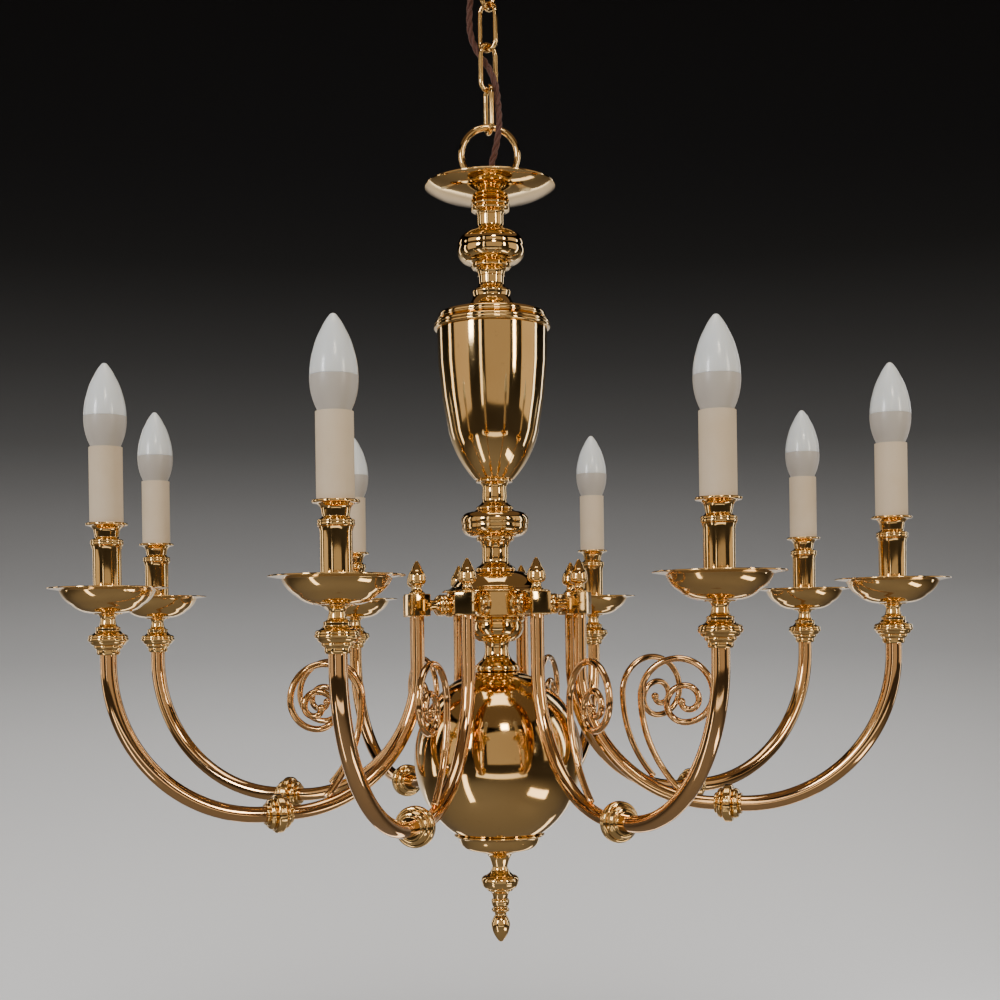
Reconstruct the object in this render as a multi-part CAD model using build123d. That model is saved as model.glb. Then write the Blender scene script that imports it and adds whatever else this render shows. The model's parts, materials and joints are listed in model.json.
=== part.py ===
"""Eight-arm turned brass chandelier on a short chain, in millimetres.

Row frame: the origin is the middle of the ceiling plate's top face, +Z is up, and -Y is the front.
Heights on the fitting are counted from a datum level near the middle of the arms, and every piece is
lowered by DROP when it is saved. Arm pieces are drawn in the XZ plane, where x is the distance from
the column's axis, and then turned round the axis.
"""

import os
from math import acos, cos, degrees, radians, sin, sqrt, tan

from build123d import *

# ---- driving dimensions -------------------------------------------------------------------------
DROP = 716.0  # ceiling to datum level
ARMS = 8
FIRST_ARM = 22.5  # degrees from +X, so that the front lies between two arms

ROD_R = 5.0  # hollow threaded rod that ties the column together
ROD_BORE = 3.7
ROD_HOLE = ROD_R + 0.1  # bore of every piece on the rod

LOOP_Z = 470.0  # middle of the hanging loop
LOOP_R = 27.4  # centreline radius
LOOP_WIRE = 3.1  # radius
BOSS_TOP = 449.0

DISH_R = 63.5
DISH_RIM_Z = 438.5
DISH_SEAT_Z = 424.0

COLLAR_Z = 411.0  # seams of the column, from the top down
UPPER_KNOP_Z = 352.0
LID_Z = 299.5
URN_FOOT_Z = 150.5
LOWER_KNOP_Z = 93.0
HUB_TOP_Z = 43.0
HUB_FOOT_Z = 20.5
HUB_CUP_Z = -5.0

BALL_R = 82.0
BALL_HALF = 86.5  # a little taller than wide
BALL_Z = -118.0
BALL_WALL = 1.2
COLLAR_TOP_Z = -192.0
FINIAL_Z = -209.5

HUB_R = 48.0
HUB_WALL = 2.0
BLOCK = 19.5  # side of the square arm blocks
BLOCK_HIGH = 21.0
BLOCK_R = 84.0  # axis to block
BLOCK_Z = 31.0
BLOCK_SIDE = BLOCK_R - BLOCK / 2
NECK_HOLE = 2.2  # wire way through necks and blocks

KNOP_R = 225.0  # axis to arm knop
KNOP_Z = -158.0
KNOP_HALF = 12.5  # half of its length along the arm
SPIGOT = 4.0  # how far each tube goes into a knop
CANDLE_R = 376.0  # axis to candle
INNER_TUBE = 6.4  # radii
OUTER_TUBE = 7.3
TUBE_WALL = 1.3
FIT = 0.05  # radial clearance of a brazed spigot

SCROLL_WIRE = 3.1
SCROLL_SIDE_R = 143.0  # where the scroll stands nearest the column
SCROLL_SIDE_Z = -59.0
SCROLL_TURNS = (36.0, 33.0, 27.0, 17.0, 17.5, 13.0, 9.5, 7.0)  # radius of each quarter turn
SCROLL_RISER = 123.0
SCROLL_FOOT = 89.0  # height of the riser

CANDLE_KNOP_Z = -11.0  # foot of the knop below each pan
PAN_FOOT_Z = 24.0
PAN_Z = 46.0
PAN_R = 51.0
PAN_WALL = 1.2
CUP_LIP_Z = 103.0
TUBE_TOP_Z = 168.5
TUBE_R = 14.3
CARD = 1.1
STEM_R = 5.0
STEM_BORE = 3.6
STEM_HOLE = STEM_R + 0.1
STEM_TOP_Z = 112.0

BULB_SEAM_Z = 195.0  # plastic base meets dome
BULB_TIP_Z = 241.5
BULB_R = 18.2
BULB_NECK_R = 12.8
CAP_R = 6.9
CAP_FOOT_Z = 144.0
HOLDER_R = 12.4
SOCKET_R = 7.3

LINK_WIRE = 2.3
LINK_LONG = 50.0
LINK_WIDE = 22.0
LINK_GAP = 0.3
LINK_TURNS = (-75.0, 31.0, -36.0)  # plane of each link from +X, from the lowest up
HOOK_WIRE = 2.5
HOOK_R = 10.5
HOOK_JOG_R = 12.0
HOOK_TIP = 6.0

PLATE_R = 50.0
PLATE_THICK = 3.0
PLATE_BOSS_R = 8.0
PLATE_BOSS = 10.0
SCREW_SPACING = 70.0
SCREW_HOLE = 2.25
SUPPLY_HOLE = 6.0
SUPPLY_Y = -26.0
ROSE_FOOT_Z = 657.0
ROSE_WALL = 1.0
ROSE_COLLAR_HIGH = 10.0
GLAND_X, GLAND_Y = -15.0, 2.0

FLEX_R = 3.15
FLEX_HOLE = 3.6
FLEX_FILL = 0.45  # share of the shorter run that each arc may use
FLEX_ROUTE = (
    (0, 0, 430),
    (0, 0, 455),
    (6.4, -6.4, 477),
    (9.8, -7.2, 499),
    (8.6, -3.4, 524),
    (6.6, -3.0, 540),
    (0.2, 0, 557),
    (-9.8, 9.8, 574),
    (-17.0, 8.0, 590),
    (-17.6, 5.4, 609),
    (-15.8, 3.0, 630),
    (GLAND_X, GLAND_Y, 645),
    (GLAND_X, GLAND_Y, 660),
)
WIRE_R = 1.6  # twin wire inside each arm
WIRE_BEND = 3.0


# ---- helpers ------------------------------------------------------------------------------------
def outline(points):
    """Closed edges through (radius, height) or (radius, height, bulge of the side that ends there)."""
    sides = []
    for (r0, z0, *_), (r1, z1, *bulge) in zip(points, points[1:] + points[:1]):
        if bulge and bulge[0]:
            sides.append(SagittaArc((r0, z0), (r1, z1), bulge[0]))
        else:
            sides.append(Line((r0, z0), (r1, z1)))
    return sides


def lathe(points):
    """Solid turned about Z from a closed outline, listed downwards on its outside."""
    face = Plane.XZ * make_face(outline(points))
    return revolve(face, Axis.Z)


def turned(outside, bore=ROD_HOLE):
    """Solid bored along Z, from its outside listed from the top down."""
    top, foot = outside[0][1], outside[-1][1]
    return lathe([(bore, top)] + list(outside) + [(bore, foot)])


def mirrored(outside):
    """The outside of a symmetrical turning about height 0, from its upper half."""
    points = list(outside)
    for here, above in zip(reversed(outside), reversed(outside[:-1])):
        bulge = here[2:] if len(here) > 2 else ()
        points.append((above[0], -above[1], *bulge))
    return points


def along_x(shape, x, z):
    """Lay a piece turned about Z along +X, with its middle at (x, 0, z)."""
    return Pos(x, 0, z) * Rot(0, 90, 0) * shape


def tube(path, radius, bore=0.0):
    """Round bar or tube swept along a path."""
    section = Plane(origin=path @ 0, z_dir=path % 0)
    bar = sweep(section * Circle(radius), path)
    if bore:
        bar -= sweep(section * Circle(bore), path)
    return bar


def in_arm_plane(*edges):
    """A path drawn as (distance from axis, height), stood up in the XZ plane."""
    return Plane.XZ * Wire(edges)


def arm_angle(number):
    return FIRST_ARM + number * 360 / ARMS


def around(shape):
    """One copy of an arm piece on every arm."""
    return [Rot(0, 0, arm_angle(n)) * shape for n in range(ARMS)]


def save(node, *shapes):
    """Lower a piece from the datum to the ceiling frame and write it."""
    solids = [Pos(0, 0, -DROP) * solid for shape in shapes for solid in shape.solids()]
    whole = solids[0] if len(solids) == 1 else Compound(children=solids)
    export_step(whole, f"parts/{node}.step")


# ---- ceiling fitting ----------------------------------------------------------------------------
def ceiling_plate():
    low = DROP - PLATE_THICK
    plate = Pos(0, 0, low) * Cylinder(PLATE_R, PLATE_THICK, align=(Align.CENTER, Align.CENTER, Align.MIN))
    plate += Pos(0, 0, low) * Cylinder(PLATE_BOSS_R, PLATE_BOSS, align=(Align.CENTER, Align.CENTER, Align.MAX))
    plate -= Pos(0, 0, DROP - 1) * Cylinder(HOOK_WIRE + 0.05, 40, align=(Align.CENTER, Align.CENTER, Align.MAX))
    for side in (-1, 1):
        plate -= Pos(side * SCREW_SPACING / 2, 0, low) * Cylinder(SCREW_HOLE, 4 * PLATE_THICK)
    plate -= Pos(0, SUPPLY_Y, low) * Cylinder(SUPPLY_HOLE, 4 * PLATE_THICK)
    return plate


def hook_levels():
    """Height of the bowl's lowest wire, of the bowl's middle, and of the foot of the straight shank."""
    bowl = link_centres()[2] + LINK_LONG / 2 - 2 * LINK_WIRE - LINK_GAP - HOOK_WIRE
    swing = acos(1 - HOOK_R / (2 * HOOK_JOG_R))
    return bowl, bowl + HOOK_R, bowl + HOOK_R + 2 * HOOK_JOG_R * sin(swing), degrees(swing)


def ceiling_hook():
    _, middle, shank, swing = hook_levels()
    straight = Line((0, DROP - 1.5), (0, shank))
    out = JernArc(straight @ 1, straight % 1, HOOK_JOG_R, swing)
    back = JernArc(out @ 1, out % 1, HOOK_JOG_R, -swing)
    bowl = JernArc(back @ 1, back % 1, HOOK_R, -180)
    tip = Line(bowl @ 1, bowl @ 1 + Vector(0, HOOK_TIP))
    bar = tube(in_arm_plane(straight, out, back, bowl, tip), HOOK_WIRE)
    return Rot(0, 0, LINK_TURNS[2] + 90) * bar


def ceiling_rose():
    foot, wall = ROSE_FOOT_Z, ROSE_WALL
    shell = lathe(
        [
            (60, DROP - 0.2),
            (60, DROP - 5),
            (57, DROP - 8),
            (30, foot + 6, 7),
            (22, foot),
            (HOOK_WIRE + 0.3, foot),
            (HOOK_WIRE + 0.3, foot + wall),
            (22 - wall / 2, foot + wall),
            (30 - wall / 2, foot + 6 + wall),
            (57 - wall, DROP - 8 + wall / 2, -7),
            (60 - wall, DROP - 5 + wall / 2),
            (60 - wall, DROP - 0.2),
        ]
    )
    return shell - Pos(GLAND_X, GLAND_Y, foot) * Cylinder(4.6, 4 * wall)


def rose_collar():
    top = ROSE_FOOT_Z - 0.1
    collar = turned(
        [(7.4, top), (8.4, top - 2, 0.3), (8.4, top - 6), (5, top - ROSE_COLLAR_HIGH, 0.8)],
        HOOK_WIRE + 0.05,
    )
    return collar - grub_hole()


def grub_hole():
    place = Pos(0, -6.2, ROSE_FOOT_Z - 4) * Rot(90, 0, 0)
    return place * Cylinder(1.5, 7)


def rose_screw():
    place = Pos(0, -5.9, ROSE_FOOT_Z - 4) * Rot(90, 0, 0)
    return place * Cylinder(1.45, 6)


def cable_gland():
    foot = ROSE_FOOT_Z
    bush = turned(
        [
            (6.2, foot + ROSE_WALL + 3),
            (6.2, foot + ROSE_WALL + 0.05),
            (4.5, foot + ROSE_WALL + 0.05),
            (4.5, foot - 0.05),
            (6.2, foot - 0.05),
            (6.2, foot - 3),
            (4.8, foot - 6, 0.6),
        ],
        FLEX_HOLE,
    )
    return Pos(GLAND_X, GLAND_Y, 0) * bush


def terminal_block():
    block = Pos(0, 24, DROP - PLATE_THICK) * Box(30, 14, 15, align=(Align.CENTER, Align.CENTER, Align.MAX))
    for x in (-9, 0, 9):
        block -= Pos(x, 24, DROP - PLATE_THICK - 8) * Rot(90, 0, 0) * Cylinder(2, 20)
    return block


# ---- chain and flex -----------------------------------------------------------------------------
def link_centres():
    """Height of the middle of each link, from the lowest up."""
    lowest = LOOP_Z + LOOP_R - LOOP_WIRE - LINK_GAP - 2 * LINK_WIRE + LINK_LONG / 2
    pitch = LINK_LONG - 4 * LINK_WIRE - LINK_GAP
    return [lowest + n * pitch for n in range(3)]


def chain_link(centre, turn):
    """One welded oval link standing in a vertical plane."""
    half_wide = LINK_WIDE / 2 - LINK_WIRE
    straight = LINK_LONG / 2 - LINK_WIRE - half_wide
    right = Line((half_wide, -straight), (half_wide, straight))
    top = JernArc(right @ 1, right % 1, half_wide, 180)
    left = Line(top @ 1, (-half_wide, -straight))
    foot = JernArc(left @ 1, left % 1, half_wide, 180)
    ring = tube(in_arm_plane(right, top, left, foot), LINK_WIRE)
    return Pos(0, 0, centre) * Rot(0, 0, turn) * ring


def flex():
    """The cord as a plain tube of straight runs and tangent arcs, as wide as the runs allow."""
    points = [Vector(*point) for point in FLEX_ROUTE]
    runs = [b - a for a, b in zip(points, points[1:])]
    radii = []
    for before, after in zip(runs, runs[1:]):
        half_turn = radians(before.get_angle(after)) / 2
        shorter = min(before.length, after.length)
        radii.append(FLEX_FILL * shorter / tan(half_turn))
    print("flex radii", [round(radius) for radius in radii])
    path = FilletPolyline(*points, radius=radii)
    cord = tube(path, FLEX_R)
    print("flex length", round(path.length, 1), "volume ratio", cord.volume / (path.length * area(FLEX_R)))
    return cord


def area(radius):
    return Circle(radius).area


def column_flex():
    top = FLEX_ROUTE[0][2]
    foot = BLOCK_Z + 8
    return Pos(0, 0, foot) * Cylinder(FLEX_R, top - foot, align=(Align.CENTER, Align.CENTER, Align.MIN))


# ---- column -------------------------------------------------------------------------------------
def hanging_loop():
    """Ring of round bar, cut off flat where it is brazed on the boss."""
    ring = Pos(0, 0, LOOP_Z) * Rot(90, 0, 0) * Torus(LOOP_R, LOOP_WIRE)
    below = Pos(0, 0, BOSS_TOP) * Box(80, 20, 60, align=(Align.CENTER, Align.CENTER, Align.MAX))
    return ring - below


def loop_boss():
    seat = DISH_SEAT_Z + 1.4
    boss = turned([(23.5, BOSS_TOP), (23.5, BOSS_TOP - 3), (17, seat + 4, -3), (18.5, seat)], FLEX_HOLE)
    return boss - Pos(0, 0, seat) * Cylinder(ROD_HOLE, 16)


def top_dish():
    rim, seat = DISH_RIM_Z, DISH_SEAT_Z
    return lathe(
        [
            (ROD_HOLE, seat + 1.4),
            (19, seat + 1.4),
            (44.5, rim - 7.1),
            (62, rim + 0.9, -0.8),
            (62.8, rim + 1.6),
            (DISH_R, rim + 0.9, 0.3),
            (DISH_R, rim, 0.2),
            (45, rim - 8.5, 0.9),
            (19, seat),
            (ROD_HOLE, seat),
        ]
    )


def top_collar():
    seat = DISH_SEAT_Z
    return turned(
        [
            (17.0, seat),
            (18.2, seat - 1),
            (18.2, seat - 4, 0.8),
            (16.4, seat - 4.8),
            (18.2, seat - 5.6),
            (18.2, seat - 9, 0.9),
            (16.0, seat - 9.8),
            (13.1, COLLAR_Z, -0.8),
        ]
    )


def upper_knop():
    top = COLLAR_Z
    return turned(
        [
            (13.1, top),
            (13.0, top - 9),
            (17.8, top - 15, -1.6),
            (19.5, top - 16.5),
            (32.4, top - 31, 4.2),
            (22.6, top - 47, 4.4),
            (19.2, top - 48.5),
            (19.2, top - 51, 0.5),
            (17.8, top - 52.5),
            (13.2, UPPER_KNOP_Z, -1.6),
        ]
    )


def urn_lid():
    top, foot = UPPER_KNOP_Z, LID_Z
    shell = lathe(
        [
            (ROD_HOLE, top),
            (12.6, top),
            (12.5, top - 6),
            (15.8, top - 12.5, -1.2),
            (18.0, top - 14),
            (18.8, top - 17.5, 0.6),
            (18.2, top - 20.5),
            (37, foot + 19.6, -4.2),
            (48.5, foot + 16.2),
            (52.6, foot + 12, 1.7),
            (51.6, foot + 9.4, 1.2),
            (53.6, foot + 7.6),
            (56.4, foot + 4, 1.6),
            (54.6, foot, 1.6),
            (50, foot),
            (50, foot + 12),
            (16, foot + 22, 3),
            (ROD_HOLE, foot + 22),
        ]
    )
    return shell


def urn_body():
    top, foot = LID_Z, URN_FOOT_Z
    wall = 1.6
    return lathe(
        [
            (54 - wall, top),
            (54, top),
            (43.5, top - 101.5, 2.9),
            (19.6, foot + 3.2, 3.1),
            (17.6, foot + 2.2),
            (17.6, foot, 0.4),
            (ROD_HOLE, foot),
            (ROD_HOLE, foot + 4),
            (18.4, foot + 4),
            (43.5 - wall, top - 101.5, -3),
            (54 - wall, top, -2.9),
        ][:-1]
    )


def lower_knop():
    top, foot = URN_FOOT_Z, LOWER_KNOP_Z
    return turned(
        [
            (16, top),
            (11.8, top - 7, -1.6),
            (12.1, top - 14.5),
            (15.5, top - 22.5, -1.6),
            (17.8, top - 24.2),
            (17.8, top - 26.4, 0.4),
            (24, top - 29.2, -0.6),
            (32.2, top - 41.5, 4.2),
            (26.4, top - 52, 2.2),
            (18.4, foot + 3.8, 0.4),
            (17.6, foot, 0.4),
        ]
    )


def hub_dome():
    top, foot = LOWER_KNOP_Z, HUB_TOP_Z
    return turned(
        [
            (15.8, top),
            (13.0, top - 10, -1.0),
            (13.0, top - 16),
            (17.2, top - 24.5, -1.8),
            (19.0, top - 26),
            (19.0, top - 28.5, 0.6),
            (22, top - 29.5),
            (43, foot + 5.5, 3.5),
            (50.5, foot + 2.6, -0.8),
            (52.6, foot + 1.4),
            (52.6, foot, 0.3),
        ]
    )


def hub_drum():
    """Hollow drum: side wall and floor, with a hole for each arm neck's wire."""
    drum = lathe(
        [
            (HUB_R - HUB_WALL, HUB_TOP_Z),
            (HUB_R, HUB_TOP_Z),
            (HUB_R, HUB_FOOT_Z),
            (ROD_HOLE, HUB_FOOT_Z),
            (ROD_HOLE, HUB_FOOT_Z + HUB_WALL),
            (HUB_R - HUB_WALL, HUB_FOOT_Z + HUB_WALL),
        ]
    )
    for hole in around(along_x(Cylinder(NECK_HOLE, 4 * HUB_WALL), HUB_R, BLOCK_Z)):
        drum -= hole
    return drum


def hub_cup():
    top, foot = HUB_FOOT_Z, HUB_CUP_Z
    return turned(
        [
            (34, top),
            (34, top - 1.6, 0.4),
            (26.8, top - 2.8, -0.4),
            (26.8, top - 5.6, 0.8),
            (26.0, top - 6.6),
            (18.6, foot + 1.5, 3.4),
            (15, foot, 0.4),
        ]
    )


def ball_neck():
    top, foot = HUB_CUP_Z, ball_height(18.5)
    return lathe(
        [
            (ROD_HOLE, top),
            (13.5, top),
            (11.6, top - 8, -0.8),
            (17.4, top - 19.5, -1.6),
            (18.6, top - 21),
            (20.9, top - 23),
            (20.9, foot + 0.2, 0.8),
            (18.4, foot + 0.2),
            (18.4, foot + 2.4),
            (ROD_HOLE, foot + 2.4),
        ]
    )


def ball_height(radius):
    """Height of the ball's upper skin at a distance from the axis."""
    return BALL_Z + BALL_HALF * sqrt(1 - (radius / BALL_R) ** 2)


def half_ellipse(wide, high):
    arc = EllipticalCenterArc((0, 0), wide, high, start_angle=-90, arc_size=180)
    return Plane.XZ * make_face([arc, Line(arc @ 1, arc @ 0)])


def ball():
    """Spun hollow ball, drilled top and bottom for the rod."""
    outside = revolve(half_ellipse(BALL_R, BALL_HALF), Axis.Z)
    inside = revolve(half_ellipse(BALL_R - BALL_WALL, BALL_HALF - BALL_WALL), Axis.Z)
    return Pos(0, 0, BALL_Z) * (outside - inside - Cylinder(ROD_HOLE, 3 * BALL_R))


def bottom_collar():
    top, foot = COLLAR_TOP_Z, FINIAL_Z
    seat = BALL_Z - BALL_HALF - 0.1
    return lathe(
        [
            (ROD_HOLE, seat),
            (26, seat),
            (38.5, top - 4.2),
            (41.6, top - 1.4),
            (42.9, top),
            (43.4, top - 0.3, 0.1),
            (43.4, top - 2.3, 0.7),
            (40.2, top - 4.6, -0.5),
            (39.4, top - 7),
            (24.4, foot + 2, 3.2),
            (20, foot, 0.4),
            (ROD_HOLE, foot),
        ]
    )


def drop_finial():
    top = FINIAL_Z
    return lathe(
        [
            (0, top),
            (18.5, top),
            (16.5, top - 1.2),
            (9.2, top - 9, -1.6),
            (7.4, top - 14.5),
            (11.2, top - 21.5, -0.8),
            (13.5, top - 23.5),
            (17.9, top - 30.5, 2.4),
            (12.6, top - 36.5, 1.4),
            (11.6, top - 38.5, 0.6),
            (7.7, top - 43, -0.8),
            (7.2, top - 46),
            (8.6, top - 50.5, 0.9),
            (6.8, top - 54, 0.5),
            (8.9, top - 56.8, -0.2),
            (6.4, top - 59.5, 0.6),
            (5.6, top - 62.5, -0.3),
            (9.3, top - 71.5, 0.7),
            (3.0, top - 86.5, 1.3),
            (1.2, top - 88.2, 0.3),
            (0, top - 88.5),
        ]
    ) - Pos(0, 0, top) * Cylinder(ROD_HOLE, 14)


def tie_rod():
    top, foot = DISH_SEAT_Z + 9, FINIAL_Z - 6
    rod = Pos(0, 0, foot) * Cylinder(ROD_R, top - foot, align=(Align.CENTER, Align.CENTER, Align.MIN))
    bore = Pos(0, 0, foot + 40) * Cylinder(ROD_BORE, top - foot, align=(Align.CENTER, Align.CENTER, Align.MIN))
    window = Pos(0, 0, BLOCK_Z) * Box(3 * ROD_R, 4, 8)
    return rod - bore - window


def rod_nuts():
    """Hexagon nuts on the rod: under the urn lid, inside the urn's foot and on the hub floor."""
    low = (Align.CENTER, Align.CENTER, Align.MIN)
    levels = (LID_Z + 16.8, URN_FOOT_Z + 4.2, HUB_FOOT_Z + HUB_WALL + 0.1)
    nut = extrude(RegularPolygon(9, 6), 5) - Cylinder(ROD_HOLE, 12, align=low)
    return [Pos(0, 0, level) * nut for level in levels]


def hub_connector():
    return Pos(-28, 0, HUB_FOOT_Z + HUB_WALL + 0.1) * Box(12, 24, 9, align=(Align.CENTER, Align.CENTER, Align.MIN))


# ---- arms ---------------------------------------------------------------------------------------
def arm_neck():
    """Turned neck from the drum to the block, with a ball in its middle."""
    reach = BLOCK_SIDE - HUB_R
    half = reach / 2
    neck = turned(
        [
            (10.8, half),
            (10.8, half - 3, 0.5),
            (7.4, half - 4.2),
            (9.6, half - 10, 1.4),
            (6.4, half - 15.6, 1.6),
            (4.9, half - 17.2),
            (4.9, 3 - half),
            (7.2, 2 - half, -0.3),
            (7.2, -half),
        ],
        NECK_HOLE,
    )
    drum = Pos(0, 0, BLOCK_Z) * Cylinder(HUB_R, 60)
    reached = turned([(10.8, half + 1.6), (10.8, half)], NECK_HOLE)
    piece = along_x(Rot(180, 0, 0) * (neck + reached), HUB_R + half, BLOCK_Z)
    return piece - drum


def arm_block():
    block = chamfer(Box(BLOCK, BLOCK, BLOCK_HIGH).edges(), 0.7)
    block -= Pos(0, 0, -BLOCK_HIGH / 2) * Cylinder(INNER_TUBE + FIT, 2 * SPIGOT)
    block -= Pos(0, 0, -BLOCK_HIGH / 2) * Cylinder(NECK_HOLE, BLOCK_HIGH + 2 * NECK_HOLE)
    block -= along_x(Cylinder(NECK_HOLE, BLOCK), -BLOCK / 2, 0)
    return Pos(BLOCK_R, 0, BLOCK_Z) * block


def acorn_finial():
    top = BLOCK_Z + BLOCK_HIGH / 2
    acorn = lathe(
        [
            (0, 31.5),
            (1.4, 31, 0.3),
            (5.4, 23, 0.2),
            (8.5, 14.2, 0.9),
            (4.9, 8.4, 1.5),
            (4.4, 7.4),
            (7.0, 1.6, -0.9),
            (7.6, 1.2),
            (7.6, 0),
            (0, 0),
        ]
    )
    return Pos(BLOCK_R, 0, top) * acorn


def inner_path():
    """Straight down from the block, a quarter turn outwards, and into the knop."""
    start = BLOCK_Z - BLOCK_HIGH / 2 + SPIGOT
    reach = KNOP_R - KNOP_HALF
    bend = reach - BLOCK_R
    down = Line((BLOCK_R, start), (BLOCK_R, KNOP_Z + bend))
    turn = JernArc(down @ 1, down % 1, bend, 90)
    return in_arm_plane(down, turn, Line(turn @ 1, (reach + SPIGOT, KNOP_Z)))


def inner_arm():
    return tube(inner_path(), INNER_TUBE, INNER_TUBE - TUBE_WALL)


def outer_arm():
    """Out of the knop, a quarter turn upwards, and into the candle knop."""
    start = KNOP_R + KNOP_HALF
    bend = CANDLE_R - start
    out = Line((start - SPIGOT, KNOP_Z), (start, KNOP_Z))
    turn = JernArc(out @ 1, out % 1, bend, 90)
    up = Line(turn @ 1, (CANDLE_R, CANDLE_KNOP_Z + SPIGOT))
    return tube(in_arm_plane(out, turn, up), OUTER_TUBE, OUTER_TUBE - TUBE_WALL)


def arm_knop():
    """Three rings turned about the arm, with a socket for a tube at each end."""
    half = [
        (9.4, KNOP_HALF),
        (9.4, KNOP_HALF - 2, 0.4),
        (10.6, KNOP_HALF - 2.6),
        (13.6, KNOP_HALF - 4.6, 0.7),
        (12.8, KNOP_HALF - 7.4, 0.9),
        (14.6, KNOP_HALF - 8.4),
        (17.6, 1.2, 1.2),
        (17.6, 0, 0.1),
    ]
    rings = turned(mirrored(half), STEM_BORE)
    rings -= Pos(0, 0, -KNOP_HALF) * Cylinder(INNER_TUBE + FIT, 2 * SPIGOT)
    rings -= Pos(0, 0, KNOP_HALF) * Cylinder(OUTER_TUBE + FIT, 2 * SPIGOT)
    return along_x(rings, KNOP_R, KNOP_Z)


def scroll():
    """C-scroll of round bar, from its foot on the inner arm to the eye."""
    side = (SCROLL_SIDE_R, SCROLL_SIDE_Z)
    riser = JernArc(side, (0, -1), SCROLL_RISER, degrees(scroll_sweep()))
    pieces = [riser]
    here, heading = Vector(*side), Vector(0, 1)
    for radius in SCROLL_TURNS:
        quarter = JernArc(here, heading, radius, -90)
        pieces.append(quarter)
        here, heading = quarter @ 1, quarter % 1
    start = Plane(origin=(SCROLL_SIDE_R, 0, SCROLL_SIDE_Z), z_dir=(0, 0, 1))
    ring = Circle(SCROLL_WIRE)
    bar = sweep(start * ring, in_arm_plane(*pieces[1:])) + sweep(start * ring, in_arm_plane(riser))
    eye = Pos(here.X, 0, here.Y) * Sphere(SCROLL_WIRE + 0.9)
    return bar + eye - tube(inner_path(), INNER_TUBE)


def scroll_sweep():
    return acos(sqrt(1 - (SCROLL_FOOT / SCROLL_RISER) ** 2))


# ---- candles ------------------------------------------------------------------------------------
def on_candle(piece):
    return Pos(CANDLE_R, 0, 0) * piece


def candle_knop():
    top, foot = PAN_FOOT_Z, CANDLE_KNOP_Z
    knop = turned(
        [
            (9.2, top),
            (6.3, top - 4.5, -0.8),
            (7.0, top - 8),
            (9.6, top - 11, -0.5),
            (10.6, top - 12.2, 0.4),
            (10.4, top - 14),
            (14.6, top - 17.4, -0.6),
            (16.8, top - 20.4, 0.9),
            (15.6, top - 24, 1.1),
            (12.2, top - 27.2, 0.7),
            (11.4, top - 29.6, 0.5),
            (9.9, top - 31),
            (9.2, foot, 0.4),
        ],
        STEM_HOLE,
    )
    return on_candle(knop - Pos(0, 0, foot) * Cylinder(OUTER_TUBE + FIT, 2 * SPIGOT))


def drip_pan():
    """Spun pan: small foot, round bowl and a flat flange with a thin edge."""
    foot, rim, wall = PAN_FOOT_Z, PAN_Z, PAN_WALL
    pan = lathe(
        [
            (STEM_HOLE, foot + wall + 1),
            (13.2, foot + wall + 1),
            (30, foot + 9.8, -1.7),
            (40.2, rim, -1.3),
            (PAN_R - 0.6, rim + 1.3),
            (PAN_R, rim + 1, 0.2),
            (PAN_R, rim + 0.3, 0.1),
            (41, rim - wall),
            (30.6, foot + 8.2, 1.5),
            (12.6, foot + 0.9, 1.9),
            (12, foot),
            (STEM_HOLE, foot),
        ]
    )
    return on_candle(pan)


def candle_cup():
    """Hollow turned cup with a ring below a flared lip that holds the candle tube."""
    foot, lip = PAN_FOOT_Z + PAN_WALL + 1, CUP_LIP_Z
    cup = lathe(
        [
            (STEM_HOLE, lip - 3.5),
            (TUBE_R + 0.2, lip - 2.5),
            (16.6, lip),
            (17.8, lip - 0.4, 0.2),
            (17.2, lip - 2.4, 0.5),
            (11, lip - 7.6, -1.6),
            (10.2, lip - 12.2),
            (12.6, lip - 14.2, -0.3),
            (13.8, lip - 16.6, 0.8),
            (13.2, lip - 20, 0.6),
            (12.9, lip - 21),
            (12.2, lip - 23.4),
            (12.1, foot + 2),
            (12.8, foot),
            (STEM_HOLE, foot),
            (STEM_HOLE, foot + 2),
            (10.6, foot + 2),
            (10.6, lip - 23),
            (STEM_HOLE, lip - 17),
        ]
    )
    return on_candle(cup)


def candle_stem():
    """Hollow threaded nipple that clamps knop, pan, cup and lampholder."""
    foot = CANDLE_KNOP_Z + SPIGOT + 0.1
    length = STEM_TOP_Z - foot
    low = (Align.CENTER, Align.CENTER, Align.MIN)
    stem = Cylinder(STEM_R, length, align=low) - Cylinder(STEM_BORE, length, align=low)
    return on_candle(Pos(0, 0, foot) * stem)


def lampholder():
    top, low = TUBE_TOP_Z - 3, CUP_LIP_Z + 1
    holder = lathe(
        [
            (SOCKET_R, top),
            (HOLDER_R - 1, top),
            (HOLDER_R, top - 1),
            (HOLDER_R, top - 28),
            (9, top - 34),
            (9, low),
            (STEM_HOLE, low),
            (STEM_HOLE, STEM_TOP_Z + 0.1),
            (2.2, STEM_TOP_Z + 0.1),
            (2.2, CAP_FOOT_Z - 3),
            (SOCKET_R, CAP_FOOT_Z - 3),
        ]
    )
    return on_candle(holder)


def candle_tube():
    foot = CUP_LIP_Z - 2.3
    high = TUBE_TOP_Z - foot
    low = (Align.CENTER, Align.CENTER, Align.MIN)
    card = Cylinder(TUBE_R, high, align=low) - Cylinder(TUBE_R - CARD, high, align=low)
    return on_candle(Pos(0, 0, foot) * card)


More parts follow.
